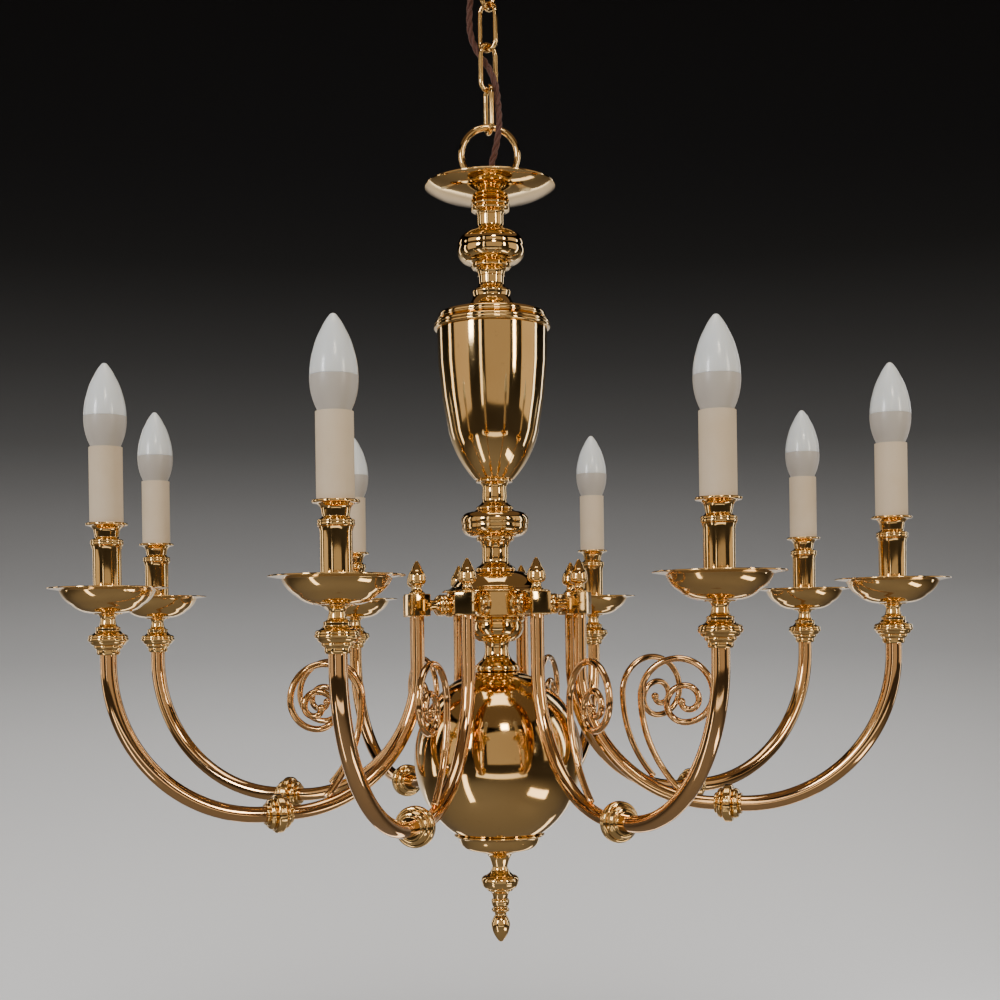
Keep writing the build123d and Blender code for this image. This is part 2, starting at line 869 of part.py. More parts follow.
def bulb_base():
    """Plastic base of the candle lamp with its screw cap."""
    base = lathe(
        [
            (0, BULB_SEAM_Z),
            (BULB_R, BULB_SEAM_Z),
            (BULB_NECK_R + 0.2, TUBE_TOP_Z + 1.5, 1.6),
            (BULB_NECK_R - 0.4, TUBE_TOP_Z - 1.5),
            (CAP_R, TUBE_TOP_Z - 2.5),
            (CAP_R, CAP_FOOT_Z + 4),
            (4, CAP_FOOT_Z),
            (0, CAP_FOOT_Z),
        ]
    )
    return on_candle(base)


def bulb_dome():
    dome = lathe(
        [
            (0, BULB_TIP_Z),
            (3.4, BULB_TIP_Z - 1.6, 0.4),
            (9.7, BULB_TIP_Z - 11.5, 0.4),
            (15.6, BULB_TIP_Z - 27, 0.5),
            (BULB_R, BULB_SEAM_Z, 0.5),
            (0, BULB_SEAM_Z),
        ]
    )
    return on_candle(dome)


def arm_wire():
    """Twin wire from the drum through neck, block, arm, knop and stem to the lampholder."""
    start = HUB_R - 14
    reach = KNOP_R - KNOP_HALF
    bend = reach - BLOCK_R
    far = CANDLE_R - KNOP_R - KNOP_HALF
    into = Line((start, BLOCK_Z), (BLOCK_R - WIRE_BEND, BLOCK_Z))
    corner = JernArc(into @ 1, into % 1, WIRE_BEND, -90)
    down = Line(corner @ 1, (BLOCK_R, KNOP_Z + bend))
    inner = JernArc(down @ 1, down % 1, bend, 90)
    through = Line(inner @ 1, (KNOP_R + KNOP_HALF, KNOP_Z))
    outer = JernArc(through @ 1, through % 1, far, 90)
    up = Line(outer @ 1, (CANDLE_R, STEM_TOP_Z + 4))
    return tube(in_arm_plane(into, corner, down, inner, through, outer, up), WIRE_R)


# ---- write every node ---------------------------------------------------------------------------
SINGLE = (
    ceiling_plate,
    ceiling_hook,
    ceiling_rose,
    rose_collar,
    rose_screw,
    cable_gland,
    terminal_block,
    flex,
    column_flex,
    hanging_loop,
    loop_boss,
    top_dish,
    top_collar,
    upper_knop,
    urn_lid,
    urn_body,
    lower_knop,
    hub_dome,
    hub_drum,
    hub_cup,
    ball_neck,
    ball,
    bottom_collar,
    drop_finial,
    tie_rod,
    hub_connector,
)
PER_ARM = (
    ("arm_necks", arm_neck),
    ("arm_blocks", arm_block),
    ("acorn_finials", acorn_finial),
    ("inner_arms", inner_arm),
    ("outer_arms", outer_arm),
    ("arm_knops", arm_knop),
    ("scrolls", scroll),
    ("candle_knops", candle_knop),
    ("drip_pans", drip_pan),
    ("candle_cups", candle_cup),
    ("candle_stems", candle_stem),
    ("lampholders", lampholder),
    ("candle_tubes", candle_tube),
    ("arm_wires", arm_wire),
)

os.makedirs("parts", exist_ok=True)
for make in SINGLE:
    save(make.__name__, make())
save("rod_nuts", *rod_nuts())
for number, (centre, turn) in enumerate(zip(link_centres(), LINK_TURNS), 1):
    save(f"chain_link_{number}", chain_link(centre, turn))
for node, make in PER_ARM:
    save(node, *around(make()))
for number, (base, dome) in enumerate(zip(around(bulb_base()), around(bulb_dome())), 1):
    save(f"bulb_base_{number}", base)
    save(f"bulb_dome_{number}", dome)
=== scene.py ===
"""A turned brass chandelier hung on its chain in a plain studio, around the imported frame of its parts."""

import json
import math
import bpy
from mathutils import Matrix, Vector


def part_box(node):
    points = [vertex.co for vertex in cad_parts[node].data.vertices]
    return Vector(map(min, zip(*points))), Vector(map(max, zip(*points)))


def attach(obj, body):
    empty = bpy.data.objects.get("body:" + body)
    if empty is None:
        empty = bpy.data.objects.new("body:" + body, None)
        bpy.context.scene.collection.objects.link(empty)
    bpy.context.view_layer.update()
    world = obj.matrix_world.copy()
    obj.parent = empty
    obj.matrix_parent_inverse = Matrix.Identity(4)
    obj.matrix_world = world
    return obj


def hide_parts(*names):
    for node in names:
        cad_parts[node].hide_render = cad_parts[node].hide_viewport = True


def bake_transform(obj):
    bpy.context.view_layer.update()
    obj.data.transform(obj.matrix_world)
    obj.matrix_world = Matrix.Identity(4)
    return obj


bl_info = {
    "name": "Turned brass chandelier",
    "version": (1, 0, 0),
    "blender": (4, 5, 0),
    "location": "3D View > Sidebar > Chandelier",
    "description": "Builds the chandelier's finished pieces, its twisted flex and a plain studio",
    "category": "Add Mesh",
}

import bmesh
import bpy
from mathutils import Matrix, Vector

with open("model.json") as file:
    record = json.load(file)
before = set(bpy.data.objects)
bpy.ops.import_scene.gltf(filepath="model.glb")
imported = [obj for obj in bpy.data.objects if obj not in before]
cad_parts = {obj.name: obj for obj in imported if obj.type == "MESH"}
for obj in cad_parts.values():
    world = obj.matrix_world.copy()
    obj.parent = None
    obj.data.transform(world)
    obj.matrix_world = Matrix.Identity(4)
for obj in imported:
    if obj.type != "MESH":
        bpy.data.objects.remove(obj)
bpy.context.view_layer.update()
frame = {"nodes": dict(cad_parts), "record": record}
NODES = frame["nodes"]
SLOTS = {part["node"]: part["material_slot"] for part in frame["record"]["subparts"]}

MM = 0.001
ARMS = 8
FIRST_ARM = math.radians(22.5)
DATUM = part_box("hub_cup")[0].z + 5 * MM  # heights are counted from here, in millimetres

COLUMN = (
    "loop_boss",
    "top_dish",
    "top_collar",
    "upper_knop",
    "urn_lid",
    "urn_body",
    "lower_knop",
    "hub_dome",
    "hub_drum",
    "hub_cup",
    "ball_neck",
    "bottom_collar",
    "drop_finial",
)
BALL = {"wide": 82.0, "half": 86.5, "level": -118.0, "wall": 1.2, "hole": 5.1}
LOOP = {"level": 470.0, "radius": 27.4, "wire": 3.1, "cut": 449.0}
LINKS = {"wire": 2.3, "long": 50.0, "wide": 22.0}
LINK_LEVELS, LINK_TURNS = (514.4, 554.9, 595.4), (-75.0, 31.0, -36.0)

BLOCK_R, BLOCK_Z = 84.0, 31.0
BLOCK_SIDE, BLOCK_HIGH, BLOCK_EDGE = 19.5, 21.0, 0.8
KNOP_R, KNOP_Z, KNOP_HALF = 225.0, -158.0, 12.5
CANDLE_R, CANDLE_FOOT = 376.0, -11.0
INNER_TUBE, OUTER_TUBE = 6.4, 7.3
SPIGOT = 4.0

SCROLL_WIRE = 3.1
SCROLL_SIDE = (143.0, -59.0)
SCROLL_TURNS = (36.0, 33.0, 27.0, 17.0, 17.5, 13.0, 9.5, 7.0)
SCROLL_RISER, SCROLL_FOOT = 123.0, 86.5
SCROLL_BEAD = ((0, 4.0), (2.0, 3.46, 0.2), (3.46, 2.0, 0.2), (4.0, 0, 0.2))  # upper half of its end

CRISP, EASED, CARD_EDGE = 0.3, 0.35, 0.25  # rounding of small pieces' corners
PAN_AROUND, BEAD_AROUND, STRAND_AROUND = 96, 20, 16

SLEEVE = {"radius": 14.3, "card": 1.1, "foot": 100.7, "top": 168.5}

FLEX_ROUTE = (
    (0, 0, 430),
    (0, 0, 455),
    (6.4, -6.4, 477),
    (9.8, -7.2, 499),
    (8.6, -3.4, 524),
    (6.6, -3.0, 540),
    (0.2, 0, 557),
    (-9.8, 9.8, 574),
    (-17.0, 8.0, 590),
    (-17.6, 5.4, 609),
    (-15.8, 3.0, 630),
    (-15.0, 2.0, 645),
    (-15.0, 2.0, 660),
)
# each stretch of the flex: its foot and head, the bodies it joins, and the heights it bends between
FLEX_STRETCHES = (
    ("flex_at_loop", 447.0, 516.0, ("fitting", "link_1"), (470.0, 508.0)),
    ("flex_by_link_1", 516.0, 556.0, ("link_1", "link_2"), (522.0, 548.0)),
    ("flex_by_link_2", 556.0, 597.0, ("link_2", "link_3"), (562.0, 590.0)),
    ("flex_by_link_3", 597.0, 652.0, ("link_3", "ceiling"), (602.0, 640.0)),
)


# ---- outlines of the turned pieces ----------------------------------------------------------------
# Levels where one piece meets the next, and the sizes that several pieces share.
CEILING, ROSE_FOOT = 716.0, 657.0
BOSS_TOP, DISH_RIM, DISH_SEAT = 449.0, 438.5, 424.0
COLLAR_FOOT, UPPER_KNOP_FOOT, LID_FOOT, URN_FOOT = 411.0, 352.0, 299.5, 150.5
LOWER_KNOP_FOOT, DOME_FOOT, DRUM_FOOT, HUB_CUP_FOOT = 93.0, 43.0, 20.5, -5.0
BALL_COLLAR_RIM, BALL_COLLAR_FOOT = -192.0, -209.5
PAN_FOOT, CUP_FOOT, CUP_LIP = 24.0, 26.2, 103.0
LAMP_TIP, LAMP_SEAM, CAP_FOOT = 241.5, 195.0, 144.0
LAMP_R, CAP_R, HUB_R = 18.2, 6.9, 48.0
URN_R, URN_WAIST, URN_WAIST_DEPTH = 54.0, 43.5, 101.5
URN_WALL, DRUM_WALL = 1.6, 2.0
ROD_HOLE, STEM_HOLE, STEM_BORE, FLEX_HOLE, NECK_HOLE, COLLAR_HOLE = 5.1, 5.1, 3.6, 3.6, 2.2, 2.55
NECK_HALF = (BLOCK_R - BLOCK_SIDE / 2 - HUB_R) / 2
NECK_R = HUB_R + NECK_HALF  # middle of the neck between drum and block
NECK_SEAT_R = 18.5  # where the ball's neck rests on the ball
BALL_SEAT = BALL["level"] + BALL["half"] * math.sqrt(1 - (NECK_SEAT_R / BALL["wide"]) ** 2)
BALL_FOOT = BALL["level"] - BALL["half"]


def below(top, *sides):
    """Sides given as (distance from the axis, depth below a level), and a bulge where there is one."""
    return [(reach, top - depth, *bulge) for reach, depth, *bulge in sides]


def above(foot, *sides):
    """The same, with heights above a level."""
    return [(reach, foot + height, *bulge) for reach, height, *bulge in sides]


def bored(outside, hole=ROD_HOLE):
    """An outline with a straight hole along its axis."""
    return [(hole, outside[0][1]), *outside, (hole, outside[-1][1])]


def mirrored(upper):
    """The upper half of an outline, and the same sides below it."""
    points = list(upper)
    for here, over in zip(reversed(upper), reversed(upper[:-1])):
        points.append((over[0], -over[1], *here[2:]))
    return points


# Each side runs to (distance from the turning axis, height). A third number bulges that side, outwards
# when it is positive and the outline runs down the outside.
TURNINGS = {
    "ceiling_rose": [
        *below(CEILING, (60, 0.2), (60, 5), (57, 8)),
        *above(ROSE_FOOT, (30, 6, 7), (22, 0), (2.8, 0), (2.8, 1), (21.5, 1), (29.5, 7)),
        *below(CEILING, (56, 7.5, -7), (59, 4.5), (59, 0.2)),
    ],
    "rose_collar": bored(below(ROSE_FOOT - 0.1, (7.4, 0), (8.4, 2, 0.3), (8.4, 6), (5, 10, 0.8)), COLLAR_HOLE),
    "loop_boss": bored(
        [*below(BOSS_TOP, (23.5, 0), (23.5, 3)), *above(DISH_SEAT, (17, 5.4, -3), (18.5, 1.4))], FLEX_HOLE
    ),
    "top_dish": [
        *above(DISH_SEAT, (ROD_HOLE, 1.4), (19, 1.4)),
        *above(DISH_RIM, (44.5, -7.1), (62, 0.9, -0.8), (62.8, 1.6), (63.5, 0.9, 0.3), (63.5, 0, 0.2)),
        *above(DISH_RIM, (45, -8.5, 0.9)),
        *above(DISH_SEAT, (19, 0), (ROD_HOLE, 0)),
    ],
    "top_collar": bored([
        *below(DISH_SEAT, (17, 0), (18.2, 1), (18.2, 4, 0.8), (16.4, 4.8), (18.2, 5.6)),
        *below(DISH_SEAT, (18.2, 9, 0.9), (16, 9.8), (13.1, 13, -0.8)),
    ]),
    "upper_knop": bored([
        *below(COLLAR_FOOT, (13.1, 0), (13, 9), (17.8, 15, -1.6), (19.5, 16.5), (32.4, 31, 4.2)),
        *below(COLLAR_FOOT, (22.6, 47, 4.4), (19.2, 48.5), (19.2, 51, 0.5), (17.8, 52.5), (13.2, 59, -1.6)),
    ]),
    "urn_lid": [
        *below(UPPER_KNOP_FOOT, (ROD_HOLE, 0), (12.6, 0), (12.5, 6), (15.8, 12.5, -1.2), (18, 14)),
        *below(UPPER_KNOP_FOOT, (18.8, 17.5, 0.6), (18.2, 20.5)),
        *above(LID_FOOT, (37, 19.6, -4.2), (48.5, 16.2), (52.6, 12, 1.7), (51.6, 9.4, 1.2), (53.6, 7.6)),
        *above(LID_FOOT, (56.4, 4, 1.6), (54.6, 0, 1.6), (50, 0), (50, 12), (16, 22, 3), (ROD_HOLE, 22)),
    ],
    "urn_body": [
        *below(LID_FOOT, (URN_R - URN_WALL, 0), (URN_R, 0), (URN_WAIST, URN_WAIST_DEPTH, 2.9)),
        *above(URN_FOOT, (19.6, 3.2, 3.1), (17.6, 2.2), (17.6, 0, 0.4), (ROD_HOLE, 0), (ROD_HOLE, 4), (18.4, 4)),
        *below(LID_FOOT, (URN_WAIST - URN_WALL, URN_WAIST_DEPTH, -3)),
    ],
    "lower_knop": bored([
        *below(URN_FOOT, (16, 0), (11.8, 7, -1.6), (12.1, 14.5), (15.5, 22.5, -1.6), (17.8, 24.2)),
        *below(URN_FOOT, (17.8, 26.4, 0.4), (24, 29.2, -0.6), (32.2, 41.5, 4.2), (26.4, 52, 2.2)),
        *above(LOWER_KNOP_FOOT, (18.4, 3.8, 0.4), (17.6, 0, 0.4)),
    ]),
    "hub_dome": bored([
        *below(LOWER_KNOP_FOOT, (15.8, 0), (13, 10, -1), (13, 16), (17.2, 24.5, -1.8), (19, 26)),
        *below(LOWER_KNOP_FOOT, (19, 28.5, 0.6), (22, 29.5)),
        *above(DOME_FOOT, (43, 5.5, 3.5), (50.5, 2.6, -0.8), (52.6, 1.4), (52.6, 0, 0.3)),
    ]),
    "hub_drum": [
        *above(DOME_FOOT, (HUB_R - DRUM_WALL, 0), (HUB_R, 0)),
        *above(DRUM_FOOT, (HUB_R, 0), (ROD_HOLE, 0), (ROD_HOLE, DRUM_WALL), (HUB_R - DRUM_WALL, DRUM_WALL)),
    ],
    "hub_cup": bored([
        *below(DRUM_FOOT, (34, 0), (34, 1.6, 0.4), (26.8, 2.8, -0.4), (26.8, 5.6, 0.8), (26, 6.6)),
        *above(HUB_CUP_FOOT, (18.6, 1.5, 3.4), (15, 0, 0.4)),
    ]),
    "ball_neck": [
        *below(HUB_CUP_FOOT, (ROD_HOLE, 0), (13.5, 0), (11.6, 8, -0.8), (17.4, 19.5, -1.6), (18.6, 21)),
        *below(HUB_CUP_FOOT, (20.9, 23)),
        *above(BALL_SEAT, (20.9, 0.2, 0.8), (18.4, 0.2), (18.4, 2.4), (ROD_HOLE, 2.4)),
    ],
    "bottom_collar": [
        *below(BALL_FOOT, (ROD_HOLE, 0.1), (26, 0.1)),
        *below(BALL_COLLAR_RIM, (38.5, 4.2), (41.6, 1.4), (42.9, 0), (43.4, 0.3, 0.1), (43.4, 2.3, 0.7)),
        *below(BALL_COLLAR_RIM, (40.2, 4.6, -0.5), (39.4, 7)),
        *above(BALL_COLLAR_FOOT, (24.4, 2, 3.2), (20, 0, 0.4), (ROD_HOLE, 0)),
    ],
    "drop_finial": below(
        BALL_COLLAR_FOOT,
        (0, 0), (18.5, 0), (16.5, 1.2), (9.2, 9, -1.6), (7.4, 14.5), (11.2, 21.5, -0.8), (13.5, 23.5),
        (17.9, 30.5, 2.4), (12.6, 36.5, 1.4), (11.6, 38.5, 0.6), (7.7, 43, -0.8), (7.2, 46),
        (8.6, 50.5, 0.9), (6.8, 54, 0.5), (8.9, 56.8, -0.2), (6.4, 59.5, 0.6), (5.6, 62.5, -0.3),
        (9.3, 71.5, 0.7), (3, 86.5, 1.3), (1.2, 88.2, 0.3), (0, 88.5),
    ),
    "arm_neck": bored([
        *below(NECK_HALF, (10.8, 0), (10.8, 3, 0.5), (7.4, 4.2), (9.6, 10, 1.4), (6.4, 15.6, 1.6), (4.9, 17.2)),
        *above(-NECK_HALF, (4.9, 3), (7.2, 2, -0.3), (7.2, 0)),
    ], NECK_HOLE),
    "acorn_finial": [
        (0, 31.5), (1.4, 31, 0.3), (5.4, 23, 0.2), (8.5, 14.2, 0.9), (4.9, 8.4, 1.5), (4.4, 7.4),
        (7, 1.6, -0.9), (7.6, 1.2), (7.6, 0), (0, 0),
    ],
    "arm_knop": bored(mirrored([
        (9.4, 12.5), (9.4, 10.5, 0.4), (10.6, 9.9), (13.6, 7.9, 0.7), (12.8, 5.1, 0.9), (14.6, 4.1),
        (17.6, 1.2, 1.2), (17.6, 0, 0.1),
    ]), STEM_BORE),
    "candle_knop": bored(below(
        PAN_FOOT,
        (9.2, 0), (6.3, 4.5, -0.8), (7, 8), (9.6, 11, -0.5), (10.6, 12.2, 0.4), (10.4, 14),
        (14.6, 17.4, -0.6), (16.8, 20.4, 0.9), (15.6, 24, 1.1), (12.2, 27.2, 0.7), (11.4, 29.6, 0.5),
        (9.9, 31), (9.2, 35, 0.4),
    ), STEM_HOLE),
    "drip_pan": above(
        PAN_FOOT,
        (STEM_HOLE, 2.2), (13.2, 2.2), (30, 9.8, -1.7), (40.2, 22, -1.3), (50.4, 23.3), (51, 23, 0.2),
        (51, 22.3, 0.1), (41, 20.8), (30.6, 8.2, 1.5), (12.6, 0.9, 1.9), (12, 0), (STEM_HOLE, 0),
    ),
    "candle_cup": [
        *below(CUP_LIP, (STEM_HOLE, 3.5), (14.5, 2.5), (16.6, 0), (17.8, 0.4, 0.2), (17.2, 2.4, 0.5)),
        *below(CUP_LIP, (11, 7.6, -1.6), (10.2, 12.2), (12.6, 14.2, -0.3), (13.8, 16.6, 0.8)),
        *below(CUP_LIP, (13.2, 20, 0.6), (12.9, 21), (12.2, 23.4)),
        *above(CUP_FOOT, (12.1, 2), (12.8, 0), (STEM_HOLE, 0), (STEM_HOLE, 2), (10.6, 2)),
        *below(CUP_LIP, (10.6, 23), (STEM_HOLE, 17)),
    ],
    "bulb_base": [
        *below(LAMP_SEAM, (0, 0), (LAMP_R, 0), (13, 25, 1.6), (12.4, 28), (CAP_R, 29)),
        *above(CAP_FOOT, (CAP_R, 4), (4, 0), (0, 0)),
    ],
    "bulb_dome": [
        *below(LAMP_TIP, (0, 0), (2.9, 1.6, 0.4), (9, 11.5, 0.4), (15.2, 27, 0.6)),
        *above(LAMP_SEAM, (LAMP_R, 0, 0.7), (0, 0)),
    ],
}

# ---- studio sizes ---------------------------------------------------------------------------------
SWEEP = {"reach": 4.4, "bend": 1.6, "top": 4.2, "around": 96, "up": 12}
SWEEP_FADE = (0.25, 1.75)  # from this far below the floor to this height
NEAR_FLOOR = (4.2, 1.6)  # how far behind the fitting the painted shade on the floor fades out
SWEEP_SHADES = ((0.22, 0.46), (0.34, 0.30), (0.46, 0.21), (0.58, 0.16), (0.70, 0.086), (0.82, 0.048), (0.94, 0.018))
AIR_COLOUR = (0.15, 0.105, 0.07, 1.0)
WARM, COOL, AMBER, WHITE = (1.0, 0.88, 0.72), (0.97, 0.97, 1.0), (1.0, 0.80, 0.58), (1, 1, 1)
# name, place and (width, height) in metres, power in watts, colour, and a target where it isn't the fitting
LIGHTS = (
    ("room_front", (0.35, -3.0, 0.0), (3.0, 2.3), 11, AMBER),
    ("strip_front", (-1.35, -2.5, 0.0), (0.22, 2.2), 4.5, WARM),
    ("room_left", (-2.7, -0.9, 0.0), (1.8, 2.2), 9, AMBER),
    ("room_right", (2.8, -0.7, 0.0), (1.8, 2.0), 9, AMBER),
    ("window_left", (-2.2, -2.0, 0.35), (0.5, 0.9), 34, COOL),
    ("window_right", (1.9, -2.1, 0.15), (0.26, 1.2), 20, WARM),
    ("front_high", (0.3, -2.5, 1.3), (0.5, 0.4), 16, WARM),
    ("front_low", (0.0, -1.9, -1.5), (2.6, 0.2), 3, WARM),
    ("low_left", (-1.15, -0.9, -1.95), (0.22, 1.5), 4.5, WARM),
    ("low_right", (1.25, -0.7, -1.9), (0.9, 0.28), 4, WARM),
    ("low_back", (0.3, 1.3, -2.0), (1.7, 0.22), 3.5, WARM),
    ("side_left", (-2.4, 0.5, -0.5), (0.25, 2.0), 6, WARM),
    ("side_right", (2.3, 0.3, -0.5), (0.2, 2.0), 6, COOL),
    ("overhead", (0, -0.2, 1.7), (1.3, 1.3), 20, WARM),
    ("rim_left", (-1.9, 2.0, 0.0), (0.3, 1.8), 5, WARM),
    ("rim_right", (2.0, 1.9, 0.0), (0.3, 1.8), 5, COOL),
    ("floor_wash", (0, 3.3, -1.95), (5.0, 0.35), 110, WHITE, (0, 6.0, -1.6)),
)


# ---- what a user may change -----------------------------------------------------------------------
def length(name, about, default, low, high):
    return bpy.props.FloatProperty(
        name=name, description=about, default=default, min=low, max=high, unit="LENGTH"
    )


def colour(name, about, default):
    return bpy.props.FloatVectorProperty(
        name=name, description=about, default=default, subtype="COLOR", size=3, min=0.0, max=1.0
    )


class ChandelierShape(bpy.types.PropertyGroup):
    corner: length("Corner", "Rounding of the turned pieces' corners", 0.00045, 0.0001, 0.002)
    around: bpy.props.IntProperty(
        name="Facets", description="Faces round a turned column piece", default=128, min=24, max=256
    )
    small_around: bpy.props.IntProperty(
        name="Small facets", description="Faces round a turned piece on an arm", default=64, min=16, max=128
    )
    tube_sides: bpy.props.IntProperty(
        name="Tube sides", description="Faces round a bent tube or wire", default=24, min=8, max=64
    )
    strands: bpy.props.IntProperty(
        name="Strands", description="Cores twisted into the flex", default=3, min=2, max=4
    )
    strand: length("Strand", "Radius of one covered core", 0.00148, 0.0005, 0.003)
    lay: length("Lay", "Length of one full twist of the flex", 0.030, 0.008, 0.08)


class ChandelierFinish(bpy.types.PropertyGroup):
    brass: colour("Brass", "Polished brass", (0.78, 0.535, 0.235))
    brass_deep: colour("Deep brass", "Brass where the lacquer has warmed", (0.62, 0.38, 0.15))
    arm_brass: colour("Arm brass", "Brass of the bent tubes", (0.74, 0.455, 0.225))
    sleeve: colour("Sleeve", "Cream card of the candle sleeves", (0.72, 0.62, 0.48))
    dome: colour("Dome", "Frosted lamp dome", (0.80, 0.88, 0.95))
    base: colour("Lamp base", "Plastic foot of the lamp", (0.54, 0.52, 0.49))
    flex: colour("Flex", "Braid of the twisted flex", (0.085, 0.026, 0.018))
    flex_light: colour("Flex fleck", "Lighter yarn in the braid", (0.20, 0.075, 0.048))


class ChandelierStudio(bpy.types.PropertyGroup):
    distance: length("Distance", "Camera to the column's axis", 1.480, 0.5, 5.0)
    heading: bpy.props.FloatProperty(
        name="Heading", description="Side the camera stands on",
        default=math.radians(-94.25), subtype="ANGLE",
    )
    aside: bpy.props.FloatProperty(
        name="Aside", description="How far right of the axis it aims",
        default=math.radians(0.13), subtype="ANGLE",
    )
    rise: bpy.props.FloatProperty(
        name="Rise", description="Upward shift of the level camera's frame", default=0.1365, subtype="FACTOR"
    )
    roll: bpy.props.FloatProperty(
        name="Roll", description="How far the camera leans", default=math.radians(-0.84), subtype="ANGLE"
    )
    lens: bpy.props.FloatProperty(
        name="Lens", description="Focal length on a 36 mm sensor", default=54.54, subtype="DISTANCE_CAMERA"
    )
    floor: length("Floor", "Height of the floor", -2.20, -5.0, -1.1)
    floor_colour: colour("Floor", "Pale studio floor", (0.70, 0.70, 0.70))
    wall_colour: colour("Wall", "Top of the studio's sweep", (0.012, 0.012, 0.013))
    # painted shade: how strongly the floor below the fitting is darkened towards black
    floor_shade: bpy.props.FloatProperty(
        name="Near floor", description="How much darker the floor is below the fitting",
        default=0.60, min=0.0, max=1.0,
    )


# ---- shader maths ---------------------------------------------------------------------------------
class Value:
    """A shader socket that numbers and other sockets can be added to, multiplied by and so on."""

    def __init__(self, shader, socket):
        self.shader = shader
        self.socket = socket

    def _math(self, operation, *values):
        return self.shader.node("ShaderNodeMath", {"operation": operation}, *values)

    def __add__(self, other):
        return self._math("ADD", self, other)

    __radd__ = __add__

    def __sub__(self, other):
        return self._math("SUBTRACT", self, other)

    def __rsub__(self, other):
        return self._math("SUBTRACT", other, self)

    def __mul__(self, other):
        return self._math("MULTIPLY", self, other)

    __rmul__ = __mul__

    def sine(self):
        return self._math("SINE", self)

    def wrap(self):
        return self._math("FRACT", self)

    def ramp(self, low, high):
        """0 below low, 1 above high, and smooth between."""
        settings = {"interpolation_type": "SMOOTHSTEP", "clamp": True}
        return self.shader.node("ShaderNodeMapRange", settings, self, low, high)


class Shader:
    """A material under construction."""

    def __init__(self, name):
        self.material = bpy.data.materials.new(name)
        self.material.use_nodes = True
        self.tree = self.material.node_tree
        self.tree.nodes.clear()
        self.output = self.tree.nodes.new("ShaderNodeOutputMaterial")

    def node(self, kind, settings=None, *values, out=0, **named):
        """Add a node, set it up, feed its sockets in order or by name, and return one of its outputs."""
        made = self.tree.nodes.new(kind)
        for key, setting in (settings or {}).items():
            if key == "stops":
                self._stops(made.color_ramp, setting)
            else:
                setattr(made, key, setting)
        pairs = list(zip(made.inputs, values))
        pairs += [(made.inputs[key.replace("_", " ")], value) for key, value in named.items()]
        for socket, value in pairs:
            self.feed(socket, value)
        return Value(self, made.outputs[out])

    def feed(self, socket, value):
        if value is None:
            return
        if isinstance(value, Value):
            self.tree.links.new(value.socket, socket)
        elif socket.type == "RGBA" and len(value) == 3:
            socket.default_value = (*value, 1.0)
        else:
            socket.default_value = value

    @staticmethod
    def _stops(ramp, stops):
        while len(ramp.elements) < len(stops):
            ramp.elements.new(0.5)
        for element, (place, tint) in zip(ramp.elements, stops):
            element.position = place
            element.color = (*tint[:3], 1.0)

    def place(self):
        """Object coordinates."""
        return self.node("ShaderNodeTexCoord", None, out="Object")

    def surface(self):
        """(round the piece, along its outline) of the piece's own UV map, as two values."""
        uv = self.node("ShaderNodeUVMap", {"uv_map": "UVMap"})
        split = self.node("ShaderNodeSeparateXYZ", None, uv)
        node = split.socket.node
        return Value(self, node.outputs["X"]), Value(self, node.outputs["Y"])

    def clouds(self, where, scale, detail=3.0, roughness=0.55):
        sockets = {"Vector": where, "Scale": scale, "Detail": detail, "Roughness": roughness}
        return self.node("ShaderNodeTexNoise", None, out="Fac", **sockets)

    def mix(self, amount, first, second):
        """A colour between two, by an amount from 0 to 1."""
        made = self.tree.nodes.new("ShaderNodeMix")
        made.data_type = "RGBA"
        colour_a, colour_b, colour_out = 6, 7, 2  # its colour sockets share their names with others
        self.feed(made.inputs["Factor"], amount)
        self.feed(made.inputs[colour_a], first)
        self.feed(made.inputs[colour_b], second)
        return Value(self, made.outputs[colour_out])

    def bump(self, height, distance, strength=1.0):
        return self.node("ShaderNodeBump", None, Strength=strength, Distance=distance, Height=height, out="Normal")

    def finish(self, **sockets):
        """Feed a Principled shader and close the material."""
        shader = self.node("ShaderNodeBsdfPrincipled", None, **sockets)
        self.tree.links.new(shader.socket, self.output.inputs["Surface"])
        return self.material


# ---- finishes -------------------------------------------------------------------------------------
def polished_brass(name, bright, deep, gloss=0.055, wave=0.00035):
    """Hand-polished brass: soft ripples in the sheet, faint buffing marks and warmer lacquer in patches."""
    shader = Shader(name)
    where = shader.place()
    warmth = shader.clouds(where, 7.0, 3.0).ramp(0.42, 0.72)
    freckle = shader.clouds(where, 160.0, 4.0, 0.7).ramp(0.60, 0.78)
    buffing = shader.clouds(where, 420.0, 2.0, 0.6)
    ripple = shader.clouds(where, 26.0, 1.5, 0.4)
    slow = shader.clouds(where, 9.0, 1.0, 0.4)
    tint = shader.mix(warmth * 0.55, bright, deep)
    tint = shader.mix(freckle * 0.30, tint, tuple(channel * 0.55 for channel in deep))
    return shader.finish(
        Base_Color=tint,
        Metallic=1.0,
        Roughness=gloss + 0.045 * warmth + 0.10 * freckle + 0.03 * buffing,
        Normal=shader.bump(ripple * 0.30 + slow, wave, 0.55),
    )


def plated_steel():
    """Zinc-plated steel with a brushed grain."""
    shader = Shader("plated_steel")
    where = shader.place()
    stretched = shader.node("ShaderNodeMapping", None, Vector=where, Scale=(60.0, 60.0, 900.0))
    grain = shader.clouds(stretched, 1.0, 3.0)
    cloud = shader.clouds(where, 40.0)
    return shader.finish(
        Base_Color=shader.mix(cloud, (0.50, 0.48, 0.43), (0.68, 0.66, 0.60)),
        Metallic=1.0,
        Roughness=0.24 + 0.16 * grain,
        Normal=shader.bump(grain, 0.00004, 0.5),
    )


